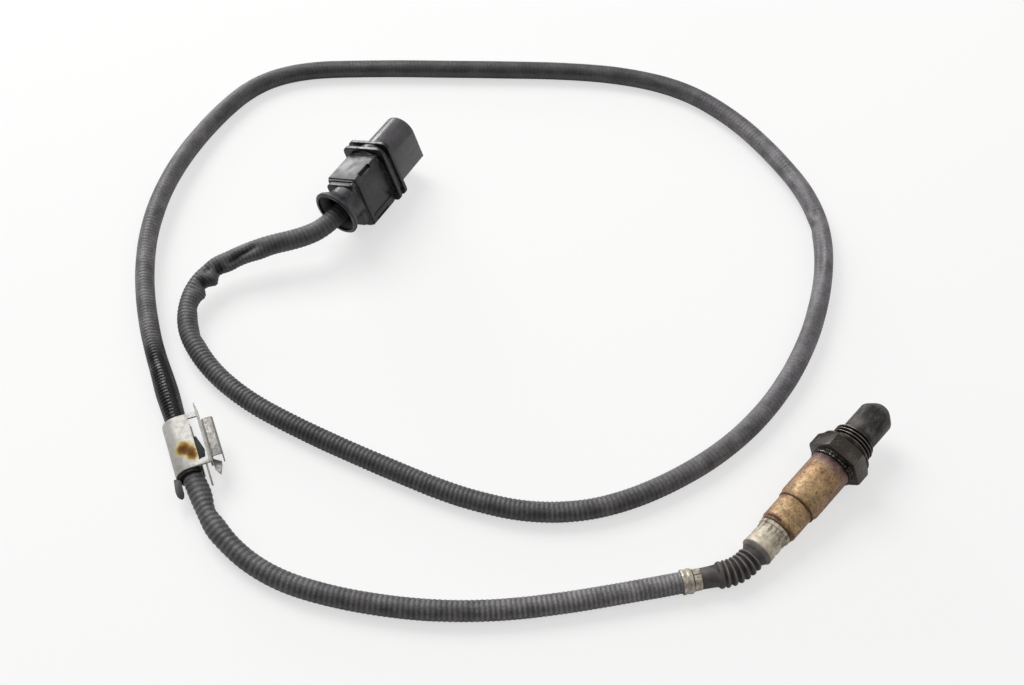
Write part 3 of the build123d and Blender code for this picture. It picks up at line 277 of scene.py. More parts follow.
def conduit_radius(station, turn, phase):
    """Radius of the sleeve: shallow rounded ribs on a slack tube with its creases."""
    slack = noise.noise((station * SLACK_RATE, 4.0 + 0.5 * math.cos(turn),
                         0.5 * math.sin(turn)))
    ripple = noise.noise((station * RIPPLE_RATE, 9.0 + 0.8 * math.cos(turn),
                          0.8 * math.sin(turn)))
    groove = 0.5 + 0.5 * math.cos(2 * math.pi * phase)
    uneven = 0.9 + 0.4 * noise.noise((station * UNEVEN_RATE, 1, 7)) + 0.6 * ripple
    depth = along_run(RIB_DEPTHS, station) * uneven
    reach = CONDUIT_R * (0.985 + 0.02 * slack + 0.01 * ripple) - groove * depth
    for place, side, dent, half, spread in CREASES:
        along = (station - place) / (half * MM)
        if abs(along) < 3:
            round_off = math.remainder(turn - side, 2 * math.pi) / spread
            reach -= dent * MM * math.exp(-along * along - round_off * round_off)
    return reach


# four rings to a rib: its groove, flank, ridge and flank
verts, faces, sunk, ridge, segment = [], [], [], [], 0
stations = [0.0]
while stations[-1] + SHORTEST_STEP < conduit_length:
    stations.append(stations[-1] + along_run(RIB_PITCHES, stations[-1]) / 4)
for step, station in enumerate(stations):
    while conduit_runs[segment + 1] < station:
        segment += 1
    part = (station - conduit_runs[segment]) / (conduit_runs[segment + 1] - conduit_runs[segment])
    centre = conduit_path[segment].lerp(conduit_path[segment + 1], part)
    before = conduit_path[max(segment - 1, 0)]
    after = conduit_path[min(segment + 2, len(conduit_path) - 1)]
    tangent = (after - before).normalized()
    side = tangent.cross(UPWARD).normalized()
    up = side.cross(tangent)
    for k in range(RIB_SIDES):
        turn = 2 * math.pi * k / RIB_SIDES
        reach = conduit_radius(station, turn, step / 4)
        verts.append(centre + (up * math.cos(turn) + side * math.sin(turn)) * reach)
        sunk.append((CONDUIT_R - reach) / MM)
        ridge.append((0.0, 0.5, 1.0, 0.5)[step % 4])
for here in range(0, (len(stations) - 1) * RIB_SIDES, RIB_SIDES):
    for k in range(RIB_SIDES):
        nxt = here + (k + 1) % RIB_SIDES
        faces.append((here + k, nxt, nxt + RIB_SIDES, here + k + RIB_SIDES))
walls = len(faces)
last_ring = len(verts) - RIB_SIDES
for ring, middle in ((0, conduit_path[0]), (last_ring, centre)):
    verts.append(middle)
    sunk.append(0.5)
    ridge.append(0.5)
    for k in range(RIB_SIDES):
        rim = (ring + k, ring + (k + 1) % RIB_SIDES)
        faces.append((*(rim if ring else reversed(rim)), len(verts) - 1))
conduit_mesh = bpy.data.meshes.new("ribbed_conduit")
conduit_mesh.from_pydata(verts, [], faces)
uv = conduit_mesh.uv_layers.new(name="UVMap")
for face in conduit_mesh.polygons[:walls]:
    row, k = divmod(face.index, RIB_SIDES)
    for loop, (around, ahead) in zip(face.loop_indices, ((0, 0), (1, 0), (1, 1), (0, 1))):
        uv.data[loop].uv = ((k + around) / RIB_SIDES, stations[row + ahead])
for name, values in (("sunk", sunk), ("ridge", ridge)):
    conduit_mesh.attributes.new(name, "FLOAT", "POINT").data.foreach_set("value", values)
conduit_mesh.shade_smooth()
conduit = new_object("ribbed_conduit", conduit_mesh)


def grain(tree, where, size, detail, rough, first, last, least=0.0, most=1.0):
    """Noise of a size in mm, spread so that first to last gives least to most."""
    speckle = add_node(tree, "TexNoise", {"Vector": where, "Scale": 1000 / size,
                                          "Detail": detail, "Roughness": rough})
    return add_node(tree, "MapRange", {0: speckle, 1: first, 2: last, 3: least, 4: most})


# Rubber-coated braid: matt charcoal, greyed by dust and a painted highlight on the ribs' crests,
# with painted shade in the grooves and in the folds of the creases, and wet-looking black where
# the coat is thick.
braid, tree = new_tree("rubber_coated_braid")
spot = add_node(tree, "UVMap", uv_map="UVMap")
spot_axes = add_node(tree, "SeparateXYZ", {0: spot}).outputs
place = add_node(tree, "TexCoord").outputs["Object"]
share = add_node(tree, "Math", {0: spot_axes["Y"], 1: conduit_length}, operation="DIVIDE")
dust = add_node(tree, "ValToRGB", {0: share}, DUST_ALONG)
ridge_light_contrast = add_node(tree, "ValToRGB", {0: share}, RIBBED_ALONG)
# dust and a painted highlight lie on the ridges, with painted shade in the grooves; where the
# sleeve is stretched the dust lies evenly everywhere
on_ridge = add_node(tree, "Attribute", attribute_name="ridge").outputs["Fac"]
ridge_dust_and_light = add_node(tree, "MapRange", {0: on_ridge, 1: 0.1, 2: 0.9, 3: 0.3, 4: 1.25})
ridge_dust_and_light = add_node(tree, "Mix", {0: ridge_light_contrast, 2: 0.8, 3: ridge_dust_and_light}, data_type="FLOAT")
patchy = grain(tree, place, 9, 4.0, 0.65, 0.3, 0.72, 0.35, 1.35)
gritty = grain(tree, place, 0.8, 2.0, 0.5, 0.3, 0.7, 0.7, 1.25)
for level in (ridge_dust_and_light, patchy, gritty):
    dust = add_node(tree, "Math", {0: dust, 1: level}, operation="MULTIPLY")
paled_and_highlighted = add_node(tree, "Mix", {0: dust, 6: "#212023", 7: "#989598"}, data_type="RGBA")
# painted shade: the folds of the creases, where the sleeve is sunk deepest, are darkened to near
# black
depth_below = add_node(tree, "Attribute", attribute_name="sunk").outputs["Fac"]
crease_shade = add_node(tree, "MapRange", {0: depth_below, 1: 0.6, 2: 1.5, 4: 0.9})
painted_light_and_dirt = add_node(tree, "Mix", {0: crease_shade, 6: paled_and_highlighted, 7: "#0c0b0c"}, data_type="RGBA")
near_gloss = add_node(tree, "MapRange",
                      {0: spot_axes["Y"], 1: GLOSSY_TO + 0.004, 2: GLOSSY_TO - 0.008},
                      interpolation_type="SMOOTHSTEP")
past_start = add_node(tree, "Math", {0: spot_axes["Y"], 1: GLOSSY_FROM}, operation="GREATER_THAN")
stretch = add_node(tree, "Math", {0: near_gloss, 1: past_start}, operation="MULTIPLY")
# the thick coat covers the top and left, and leaves a dusty strip on the right
turned = add_node(tree, "Math", {0: spot_axes["X"], 1: 2 * math.pi, 2: 0.6},
                  operation="MULTIPLY_ADD")
leftward = add_node(tree, "Math", {0: turned}, operation="COSINE")
coated = add_node(tree, "MapRange", {0: leftward, 1: 0.12, 2: 0.3})
gloss = add_node(tree, "Math", {0: stretch, 1: coated}, operation="MULTIPLY")
tar = add_node(tree, "Mix", {0: gloss, 6: painted_light_and_dirt, 7: "#0e0c0d"}, data_type="RGBA")
sheen = add_node(tree, "MapRange", {0: gloss, 3: 0.5, 4: 0.2})
grit = gritty.inputs[0].links[0].from_node
dents = add_node(tree, "Bump", {"Strength": 0.7, "Distance": 0.22 * MM, "Height": grit})
skin = add_node(tree, "BsdfPrincipled",
                {"Base Color": tar, "Roughness": sheen, "Normal": dents, "IOR": 1.5})
add_node(tree, "OutputMaterial", {"Surface": skin})
conduit_mesh.materials.append(braid)
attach(conduit, "root")
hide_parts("conduit")


# ---- steel housing with its thread ----
# The housing is turned from hexagon bar: a 22 mm hex, a neck ring that takes the shell, and an
# M18 x 1.5 thread on the nose. It is burnt brown-black, with anti-seize grease dried glossy round
# the neck. The thread is rolled, so its crests shine a little.
HEAD_FRAME = (Matrix.Translation((0.0153, 0.0, 0.0127259))
              @ Matrix.Rotation(-math.radians(6.15), 4, "Y"))
TO_HEAD = HEAD_FRAME.inverted()
TURN_TO_HEAD = Matrix.Rotation(math.radians(90), 4, "Y")
THREAD_PITCH = 1.5 * MM
THREAD_ROOT = 8.1 * MM
THREAD_CREST = 9.0 * MM
THREAD_START = 2.0 * MM
THREAD_TURNS = 4
THREAD_STEPS = 56
LEAD_IN_STEPS = 30
WASHER_FACE = 1.35 * MM
RIDGE_FOOT = THREAD_ROOT - 0.15 * MM
RIDGE = [(-0.72, RIDGE_FOOT), (-0.62, THREAD_ROOT + 0.02 * MM), (-0.12, THREAD_CREST),
         (0.12, THREAD_CREST), (0.62, THREAD_ROOT + 0.02 * MM), (0.72, RIDGE_FOOT)]
NECK_RING = (-9.6, -7.35)


def edit_mode(action="SELECT"):
    """Enters edit mode with everything selected, or nothing."""
    bpy.ops.object.mode_set(mode="EDIT")
    bpy.ops.mesh.select_all(action=action)


def face_outwards(merge=0.0):
    """Merges the active piece's doubles, nearer than merge in mm, and turns its faces outwards."""
    edit_mode()
    if merge:
        bpy.ops.mesh.remove_doubles(threshold=merge * MM)
    bpy.ops.mesh.normals_make_consistent(inside=False)
    bpy.ops.object.mode_set(mode="OBJECT")


def round_edges(piece, edge, segments, **limits):
    """Rounds the active piece's edges off by the given width in mm."""
    rounding = piece.modifiers.new("rounding", "BEVEL")
    rounding.width = edge * MM
    rounding.segments = segments
    for name, value in limits.items():
        setattr(rounding, name, value)
    bpy.ops.object.modifier_apply(modifier=rounding.name)


def softened_copy(node, name, edge, segments=2):
    """Merged copy of a CAD node with its sharp edges rounded off by the given width in mm."""
    made = new_object(name, nodes[node].data.copy())
    made.data.materials.clear()
    pick_only(made)
    edit_mode()
    bpy.ops.mesh.remove_doubles(threshold=0.002 * MM)
    bpy.ops.mesh.customdata_custom_splitnormals_clear()
    bpy.ops.mesh.dissolve_limited(angle_limit=math.radians(0.5))
    bpy.ops.object.mode_set(mode="OBJECT")
    sharp = math.radians(28)
    round_edges(made, edge, segments, limit_method="ANGLE", angle_limit=sharp)
    bpy.ops.object.shade_smooth_by_angle(angle=sharp)
    return made


def worn_surface(name, clean, worn, patch, grit, metal, smooth, rough, relief, balance=0.5):
    """Surface that goes from clean to worn in patches and grit, both sized in mm, and from smooth
    to rough with them, over a relief in mm. Gives its material, tree and main nodes."""
    made, tree = new_tree(name)
    place = add_node(tree, "TexCoord").outputs["Object"]
    patches = add_node(tree, "TexNoise", {"Vector": place, "Scale": 1000 / patch, "Detail": 5.0,
                                          "Roughness": 0.62})
    specks = add_node(tree, "TexNoise", {"Vector": place, "Scale": 1000 / grit, "Detail": 2.0})
    both = add_node(tree, "Math", {0: specks, 1: 0.45, 2: patches}, operation="MULTIPLY_ADD")
    wear = add_node(tree, "MapRange", {0: both, 1: balance + 0.1, 2: balance + 0.34})
    shade = add_node(tree, "Mix", {0: wear, 6: clean, 7: worn}, data_type="RGBA")
    gloss = add_node(tree, "MapRange", {0: wear, 3: smooth, 4: rough})
    height = add_node(tree, "Bump", {"Strength": 0.6, "Distance": relief * MM, "Height": both})
    skin = add_node(tree, "BsdfPrincipled", {"Base Color": shade, "Roughness": gloss,
                                             "Normal": height, "Metallic": metal})
    add_node(tree, "OutputMaterial", {"Surface": skin})
    return SimpleNamespace(material=made, tree=tree, place=place, wear=both, shade=shade,
                           gloss=gloss, height=height, skin=skin)


def finish_piece(piece, surface, slot, *replaced):
    """Gives a piece its surface, and names the CAD nodes that it stands for; the slot is not used.
    """
    piece.data.materials.append(surface.material)
    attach(piece, "root")
    if replaced:
        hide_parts(*replaced)


def paint(surface, *coats, **others):
    """Lays coats over a surface's shade, each a colour and the masks that it keeps within, and
    feeds the surface's other inputs."""
    tree, shade = surface.tree, surface.shade
    for tint, share, *masks in coats:
        for mask in masks:
            share = add_node(tree, "Math", {0: share, 1: mask}, operation="MULTIPLY")
        shade = add_node(tree, "Mix", {0: share, 6: shade, 7: tint}, data_type="RGBA")
    feed(tree, surface.skin, {"Base Color": shade, **others})


def between(tree, value, first, last, blur):
    """1 where the value lies from first to last, falling to 0 over the blur at each end, in mm."""
    rise = add_node(tree, "MapRange", {0: value, 1: (first - blur) * MM, 2: (first + blur) * MM},
                    interpolation_type="SMOOTHSTEP")
    fall = add_node(tree, "MapRange", {0: value, 1: (last + blur) * MM, 2: (last - blur) * MM},
                    interpolation_type="SMOOTHSTEP")
    return add_node(tree, "Math", {0: rise, 1: fall}, operation="MULTIPLY")


def own_axes(surface, own_frame):
    """Tree of a surface, the places in a frame of its own, and their X, Y and Z, in metres."""
    tree = surface.tree
    turned = add_node(tree, "Mapping", {"Vector": surface.place, "Rotation": own_frame.to_euler(),
                                        "Location": own_frame.translation},
                      vector_type="TEXTURE")
    return tree, turned, add_node(tree, "SeparateXYZ", {0: turned}).outputs


housing = softened_copy("hex_body", "hex_housing", 0.3)
for vert in housing.data.vertices:
    spot = TO_HEAD @ vert.co
    reach = math.hypot(spot.y, spot.z)
    if spot.x > WASHER_FACE and reach > THREAD_ROOT:
        spot.y *= THREAD_ROOT / reach
        spot.z *= THREAD_ROOT / reach
        vert.co = HEAD_FRAME @ spot

# one ridge of the thread, wound round the nose by a screw
thread = start_from(bpy.ops.mesh.primitive_circle_add, "rolled_thread", vertices=len(RIDGE),
                    radius=0.001, fill_type="NOTHING")
for vert, (along, reach) in zip(thread.data.vertices, RIDGE):
    vert.co = (reach, 0.0, along * MM)
winding = thread.modifiers.new("winding", "SCREW")
winding.axis = "Z"
winding.screw_offset = THREAD_PITCH
winding.iterations = THREAD_TURNS
winding.steps = winding.render_steps = THREAD_STEPS
winding.use_normal_calculate = True
bpy.ops.object.modifier_apply(modifier=winding.name)
for vert in thread.data.vertices:
    ring = vert.index // len(RIDGE)
    lead_in = min(1.0, min(ring, THREAD_TURNS * THREAD_STEPS - ring) / LEAD_IN_STEPS)
    reach = math.hypot(vert.co.x, vert.co.y)
    fade = (RIDGE_FOOT + (reach - RIDGE_FOOT) * lead_in) / reach
    vert.co.x *= fade
    vert.co.y *= fade
edit_mode("DESELECT")
bpy.ops.mesh.select_non_manifold()
bpy.ops.mesh.edge_face_add()
face_outwards()
thread.data.transform(HEAD_FRAME @ Matrix.Translation((THREAD_START, 0, 0)) @ TURN_TO_HEAD)
bpy.ops.object.shade_smooth_by_angle(angle=math.radians(35))

# Burnt steel: brown-black scale with paler rubbed spots, satin where handled; the dried grease on
# the neck is wet-looking black, so it throws small white glints.
burnt = worn_surface("burnt_scaled_steel", "#38322d", "#5c544c", 5.0, 0.5, 0.25, 0.22, 0.42,
                     0.07, 0.62)
tree, _, along = own_axes(burnt, HEAD_FRAME)
neck = between(tree, along["X"], *NECK_RING, 0.25)
daubed = grain(tree, burnt.place, 2.2, 1.0, 0.5, 0.38, 0.5, 0.15)
grease = add_node(tree, "Math", {0: neck, 1: daubed}, operation="MULTIPLY")
greasy = add_node(tree, "Mix", {0: grease, 2: burnt.gloss, 3: 0.09}, data_type="FLOAT")
daubs = daubed.inputs[0].links[0].from_node
lumps = add_node(tree, "Math", {0: daubs, 1: grease}, operation="MULTIPLY")
swell = add_node(tree, "Bump", {"Strength": 0.8, "Distance": 0.5 * MM, "Height": lumps,
                                "Normal": burnt.height})
paint(burnt, ("#100e0d", grease), Roughness=greasy, Normal=swell)
finish_piece(housing, burnt, "burnt_steel", "hex_body")

# Rolled thread: the same burnt steel, rubbed bright along the crests by the socket's bung, and with
# a painted highlight along them too.
crests = worn_surface("rubbed_and_lit_thread_steel", "#151210", "#2e2925", 3.0, 0.4, 0.4, 0.25, 0.45,
                      0.06, 0.6)
tree, axes, _ = own_axes(crests, HEAD_FRAME)
spread = add_node(tree, "VectorMath", {0: axes, 1: (0, 1, 1)}, operation="MULTIPLY")
reach = add_node(tree, "VectorMath", {0: spread}, operation="LENGTH")
# painted highlight and rubbing: the crests are paler
paled_and_highlighted = add_node(tree, "MapRange", {0: reach, 1: 8.85 * MM, 2: THREAD_CREST, 4: 0.7})
paint(crests, ("#958b80", paled_and_highlighted))
finish_piece(thread, crests, "burnt_steel")


# ---- captive washer ----
# A crush ring of rolled steel strip, folded flat and swaged so that it can't fall off the thread.
# It is dark with soot, and paler in patches where it has been rubbed.
washer = softened_copy("seal_washer", "crush_washer", 0.12)
finish_piece(washer, worn_surface("sooted_washer_steel", "#1e1a18", "#4c453f", 3.0, 0.4, 0.6, 0.3,
                                  0.55, 0.08, 0.6), "washer_steel", "seal_washer")


# ---- protection tubes ----
# Two drawn stainless cups, one inside the other, welded in the nose. Exhaust soot has burnt onto
# them: dark grey and grainy, darker in smears and at the tip, and darkest at the foot.
TIP_RING = (22.0, 30.0)
TUBE_FOOT = (0.0, 9.6)
outer_tube = softened_copy("outer_protection_tube", "outer_guard_tube", 0.18, 3)
inner_tube = softened_copy("inner_protection_tube", "inner_guard_tube", 0.12)
# Sooted stainless: dull, with a fine grain of burnt-on carbon.
soot = worn_surface("sooted_stainless_steel", "#302e2b", "#63605b", 4.5, 0.55, 0.3, 0.4, 0.66,
                    0.16, 0.54)
tree, axes, along = own_axes(soot, HEAD_FRAME)
stretched = add_node(tree, "Mapping", {"Vector": axes, "Scale": (0.35, 1.0, 1.0)})
smeared = grain(tree, stretched, 3.2, 4.0, 0.6, 0.44, 0.6, 0.0, 0.95)
tip_ring = between(tree, along["X"], *TIP_RING, 0.5)
foot = between(tree, along["X"], *TUBE_FOOT, 0.9)
darker = add_node(tree, "Math", {0: tip_ring, 1: 0.45, 2: smeared}, operation="MULTIPLY_ADD",
                  use_clamp=True)
darkest = add_node(tree, "Math", {0: darker, 1: foot}, operation="MAXIMUM")
paint(soot, ("#161312", darkest))
finish_piece(outer_tube, soot, "sooty_steel", "outer_protection_tube")
finish_piece(inner_tube, soot, "sooty_steel", "inner_protection_tube")


# ---- element, ceramics and contacts inside the head ----
# The planar zirconia element stands in two alumina blocks with talc powder rammed between them.
# A steatite holder squeezes five spring contacts onto it under a split steel ring. The shells
# hide all of it, so the CAD bodies stay and get the finishes of the real parts.
def refinish(surface, *names):
    """Gives CAD nodes that stay as they are the surface of the real part."""
    for name in names:
        nodes[name].data.materials.clear()
        nodes[name].data.materials.append(surface.material)


# Alumina and steatite: matt off-white, with a fired grain and a few iron specks.
refinish(worn_surface("fired_alumina", "#e9e3d6", "#cfc4b0", 2.5, 0.35, 0.0, 0.45, 0.65, 0.04),
         "lower_insulator", "upper_insulator", "contact_holder")
# Zirconia: denser and smoother than the blocks, faintly grey from the reducing fire.
refinish(worn_surface("sintered_zirconia", "#dcdad3", "#b4b0a6", 3.0, 0.3, 0.0, 0.25, 0.4, 0.02),
         "sensing_element")
# Pressed talc: chalky and soft, with pressed-in darker grains.
refinish(worn_surface("pressed_talc_powder", "#d8d4cb", "#b5afa3", 1.2, 0.25, 0.0, 0.8, 0.95, 0.08),
         "powder_seal")
# Nickel spring strip: bright, faintly yellow, with rolling marks.
refinish(worn_surface("nickel_spring_strip", "#cdc4b2", "#9a8f7c", 2.0, 0.2, 1.0, 0.22, 0.4, 0.02),
         "contact_springs")
# Split ring: blued spring steel, glossy and dark.
refinish(worn_surface("blued_spring_steel", "#3c4450", "#5a5048", 2.5, 0.3, 0.9, 0.25, 0.45, 0.03),
         "contact_clamp_ring")


# ---- heat-tinted shells ----
# Two deep-drawn stainless shells, the larger laser-welded to the housing's neck and the smaller
# pressed into it under a bead of brown weld. Exhaust heat has tinted them gold, and purple and
# pink toward the hex, and they are speckled with burnt-on dirt.
CLOUD_REACH = 11.0
WELD_REACH = 7.75
WELD_THICK = 0.42
WELD_AT = -31.95
WELD_PULSES = 46


def tinted_shell(name, tints, first, last, flank_reflection_tint):
    """Heat-tinted stainless with its tints from the first to the last station in mm, and a painted
    reflection on the flanks.
    """
    steel = worn_surface(name, "#c89d6c", "#a98156", 2.6, 0.4, 0.3, 0.48, 0.62, 0.09, 0.55)
    tree, _, along = own_axes(steel, HEAD_FRAME)
    # clouds carry the tints' borders to and fro
    cloud = add_node(tree, "TexNoise", {"Vector": steel.place, "Scale": 1000 / 8, "Detail": 5.0,
                                        "Roughness": 0.65})
    drift = add_node(tree, "Math", {0: cloud, 1: CLOUD_REACH * MM, 2: along["X"]},
                     operation="MULTIPLY_ADD")
    station = add_node(tree, "MapRange", {0: drift, 1: (first + CLOUD_REACH / 2) * MM,
                                          2: (last + CLOUD_REACH / 2) * MM})
    tinted = add_node(tree, "ValToRGB", {0: station}, tints)
    # painted reflection: both flanks are tinted cooler and pinker than the top
    left = add_node(tree, "MapRange", {0: along["Y"], 1: 3.5 * MM, 2: 8.7 * MM, 4: 0.75})
    right = add_node(tree, "MapRange", {0: along["Y"], 1: -6.0 * MM, 2: -8.7 * MM, 4: 0.6})
    flank_reflection_share = add_node(tree, "Math", {0: left, 1: right}, operation="MAXIMUM")
    reflection_tinted = add_node(tree, "Mix", {0: flank_reflection_share, 6: tinted, 7: flank_reflection_tint}, data_type="RGBA")
    mottle = add_node(tree, "MapRange", {0: steel.wear, 1: 0.5, 2: 0.95, 3: 1.25, 4: 0.45})
    spotted = grain(tree, steel.place, 0.9, 3.0, 0.7, 0.5, 0.66, 1.05, 0.4)
    shading = add_node(tree, "Math", {0: mottle, 1: spotted}, operation="MULTIPLY")
    painted_light_and_dirt = add_node(tree, "VectorMath", {0: reflection_tinted, 3: shading}, operation="SCALE")
    feed(tree, steel.skin, {"Base Color": painted_light_and_dirt})
    return steel


lower_shell = softened_copy("lower_sleeve", "large_shell", 0.25, 3)
upper_shell = softened_copy("upper_sleeve", "small_shell", 0.25, 3)
# Heat-tinted stainless: gold with a satin sheen, purple-brown by the hex, peppered with dirt.
gold_steel = tinted_shell(
    "heat_tinted_stainless_steel",
    [(0.0, "#b8986e"), (0.25, "#c3a277"), (0.5, "#b8956a"), (0.7, "#ad8860"), (0.79, "#a38a68"),
     (0.86, "#9b7666"), (0.92, "#846264"), (0.97, "#664a48"), (1.0, "#40302a")],
    # the flank tint is a painted reflection
    -31.7, -9.1, "#a37f6e")
# Lightly tinted stainless: an evener gold, with a brown band where the collar's bead begins.
pale_gold = tinted_shell(
    "light_tinted_stainless_steel",
    [(0.0, "#66492f"), (0.1, "#775639"), (0.17, "#be9c70"), (0.5, "#c1a075"), (0.85, "#b08f64"),
     (0.94, "#75563a"), (1.0, "#54402e")],
    # the flank tint is a painted reflection
    -45.0, -31.0, "#b08a78")
finish_piece(lower_shell, gold_steel, "tinted_steel", "lower_sleeve")
finish_piece(upper_shell, pale_gold, "tinted_steel", "upper_sleeve")

# the weld: a torus squashed into the corner between the shells, rippled by the laser's pulses
weld = start_from(bpy.ops.mesh.primitive_torus_add, "shell_weld", major_segments=144,
                  minor_segments=12, major_radius=WELD_REACH * MM, minor_radius=WELD_THICK * MM)
for vert in weld.data.vertices:
    turn = math.atan2(vert.co.y, vert.co.x)
    outward = Vector((math.cos(turn), math.sin(turn), 0))
    uneven = noise.noise((outward.x * 3, outward.y * 3, 5))
    swell = 1 + 0.1 * math.sin(turn * WELD_PULSES) + 0.25 * uneven
    middle = outward * WELD_REACH * MM
    vert.co = middle + (vert.co - middle) * swell
weld.data.transform(HEAD_FRAME @ Matrix.Translation((WELD_AT * MM, 0, 0)) @ TURN_TO_HEAD)
bpy.ops.object.shade_smooth()
# Weld bead: oxidised dark brown, duller than the shells, with a fine ripple.
finish_piece(weld, worn_surface("oxidised_weld_bead", "#4a3423", "#7d5b3c", 2.0, 0.4, 0.5, 0.4,
                                0.6, 0.06), "tinted_steel")


# ---- crimped collar ----
# A plated steel collar, crimped twice over the grommet behind the shells. Its cream-silver plating
# is streaked along the axis and stained brown and grey, most of all beside the shells.
COLLAR_FRONT = (-50.0, -44.0)
CRIMP_LINE = (-45.4, -44.6)
collar = softened_copy("crimp_collar", "crimped_collar", 0.14)
# Zinc plating: pale and satin, with brown stains in streaks and a darker line in the crimp.
plated = worn_surface("stained_zinc_plating", "#dcd2c0", "#c0b5a0", 2.6, 0.45, 0.2, 0.48, 0.62,
                      0.08, 0.5)
tree, axes, along = own_axes(plated, HEAD_FRAME)
stretched = add_node(tree, "Mapping", {"Vector": axes, "Scale": (0.28, 1.0, 1.0)})
streaked = grain(tree, stretched, 2.2, 5.0, 0.7, 0.48, 0.6, 0.0, 0.9)
front = between(tree, along["X"], *COLLAR_FRONT, 2.5)
more = add_node(tree, "MapRange", {0: front, 3: 0.45})
crimp_darkening = between(tree, along["X"], *CRIMP_LINE, 0.25)
paint(plated, ("#5f5140", streaked, more), ("#4d3c2a", crimp_darkening))
finish_piece(collar, plated, "silver_steel", "crimp_collar")


# ---- grommet, seal and leads ----
# A fluorocarbon grommet closes the collar round five leads. Each lead is fine stranded copper in
# a glossy extruded jacket. Only cut-away views show them, so the CAD bodies stay.
# Moulded fluorocarbon rubber: dull rust-brown with a faint bloom.
refinish(worn_surface("moulded_fluorocarbon_rubber", "#5d3a2c", "#7a5848", 2.0, 0.3, 0.0, 0.5,
                      0.7, 0.04), "cable_grommet", "wire_seal")
# Extruded lead jackets: satin grey-white plastic with scuffs.
refinish(worn_surface("extruded_lead_jackets", "#c9c7c2", "#8f8c86", 6.0, 0.4, 0.0, 0.3, 0.45,
                      0.02), "sensor_leads", "plug_leads")


# ---- bellows boot ----
# A silicone boot moulded in one piece: a flange that seats on the collar, six bellows folds where
# the lead bends, a thick shoulder and a neck that the ferrule grips. It is a profile turned round
# its axis and then bent, and its folds are paler along the crests from dust and a painted
# highlight, and darkened in the grooves by painted shade.
BOOT_AXIS = [(-41.0737, 0.0, 6.6515), (-52.3086, 0.0, 5.4409), (-68.2159, 11.4480, 5.1941)]
BOOT_BEND = 20.0
BOOT_FRONT = 4.0     # how far inside the collar the bending curve starts
FOLD_FIRST, FOLD_PITCH, FOLDS = 4.9, 2.32, 6
FOLD = [(-0.86, 4.6), (-0.66, 4.9), (-0.42, 5.3), (-0.14, 5.47),
        (0.14, 5.47), (0.42, 5.3), (0.66, 4.9), (0.86, 4.6)]
BOOT_PROFILE = [(-2.6, 3.5), (-2.6, 5.85), (0.02, 5.9), (0.02, 6.45), (0.25, 6.67), (0.7, 6.62),
                (0.95, 6.35), (1.7, 5.75), (2.6, 5.2), (3.4, 4.78), (3.8, 4.62)]
for at in (FOLD_FIRST + FOLD_PITCH * fold for fold in range(FOLDS)):
    BOOT_PROFILE += [(at + along, reach) for along, reach in FOLD]
BOOT_PROFILE += [(17.65, 4.58), (17.8, 4.95), (18.1, 5.25), (18.6, 5.35), (19.1, 5.3),
                 (19.5, 5.05), (19.9, 4.6), (20.3, 4.4), (22.5, 4.26), (26.2, 4.15),
                 (26.6, 3.76), (30.4, 3.74), (30.5, 3.5), (20.0, 3.5), (10.0, 3.5), (4.0, 3.5)]
GROOVE_REACH, FOLD_DEPTH = 4.55, 0.9
FOLDS_ALONG = (-75.5, -60.6)
TURN_STEPS = 96


def turned_body(name, profile, ahead=0.0):
    """Closed profile of (along, reach) in mm, moved ahead and turned round the X axis."""
    made = start_from(bpy.ops.mesh.primitive_circle_add, name, vertices=len(profile),
                      radius=0.001, fill_type="NOTHING")
    for vert, (along, reach) in zip(made.data.vertices, profile):
        vert.co = ((along + ahead) * MM, 0.0, reach * MM)
    edit_mode()
    bpy.ops.mesh.spin(steps=TURN_STEPS, angle=2 * math.pi, center=(0, 0, 0), axis=(1, 0, 0))
    face_outwards(0.005)
    return made


boot = turned_body("folded_boot", BOOT_PROFILE, BOOT_FRONT)
heights = [(math.hypot(vert.co.y, vert.co.z) / MM - GROOVE_REACH) / FOLD_DEPTH
           for vert in boot.data.vertices]
boot.data.attributes.new("fold_height", "FLOAT", "POINT").data.foreach_set(
    "value", [max(0.0, min(1.0, height)) for height in heights])

# the boot's axis: straight into the corner, round it at the bend's radius, and straight out
front, corner, back = [Vector(place) * MM for place in BOOT_AXIS]
into, out = (corner - front).normalized(), (back - corner).normalized()
bend_angle = into.angle(out)
tangent = BOOT_BEND * MM * math.tan(bend_angle / 2)
arc_handle = BOOT_BEND * MM * math.tan(bend_angle / 4) * 4 / 3
END_HANDLE = 3 * MM
bend_line = bpy.data.curves.new("boot_bend", "CURVE")
bend_line.dimensions = "3D"
bend_line.resolution_u = 32
bend = bend_line.splines.new("BEZIER")
bend.bezier_points.add(3)
for point, (place, heading, handle) in zip(bend.bezier_points, (
        (front - into * BOOT_FRONT * MM, into, END_HANDLE),
        (corner - into * tangent, into, arc_handle),
        (corner + out * tangent, out, arc_handle), (back + out * 2 * MM, out, END_HANDLE))):
    point.co = place
    point.handle_left = place - heading * handle
    point.handle_right = place + heading * handle
bend_object = new_object("boot_bend", bend_line)
bending = boot.modifiers.new("bending", "CURVE")
bending.object = bend_object
bending.deform_axis = "POS_X"
pick_only(boot)
bpy.ops.object.modifier_apply(modifier=bending.name)
bpy.data.objects.remove(bend_object)
bpy.ops.object.shade_smooth_by_angle(angle=math.radians(60))

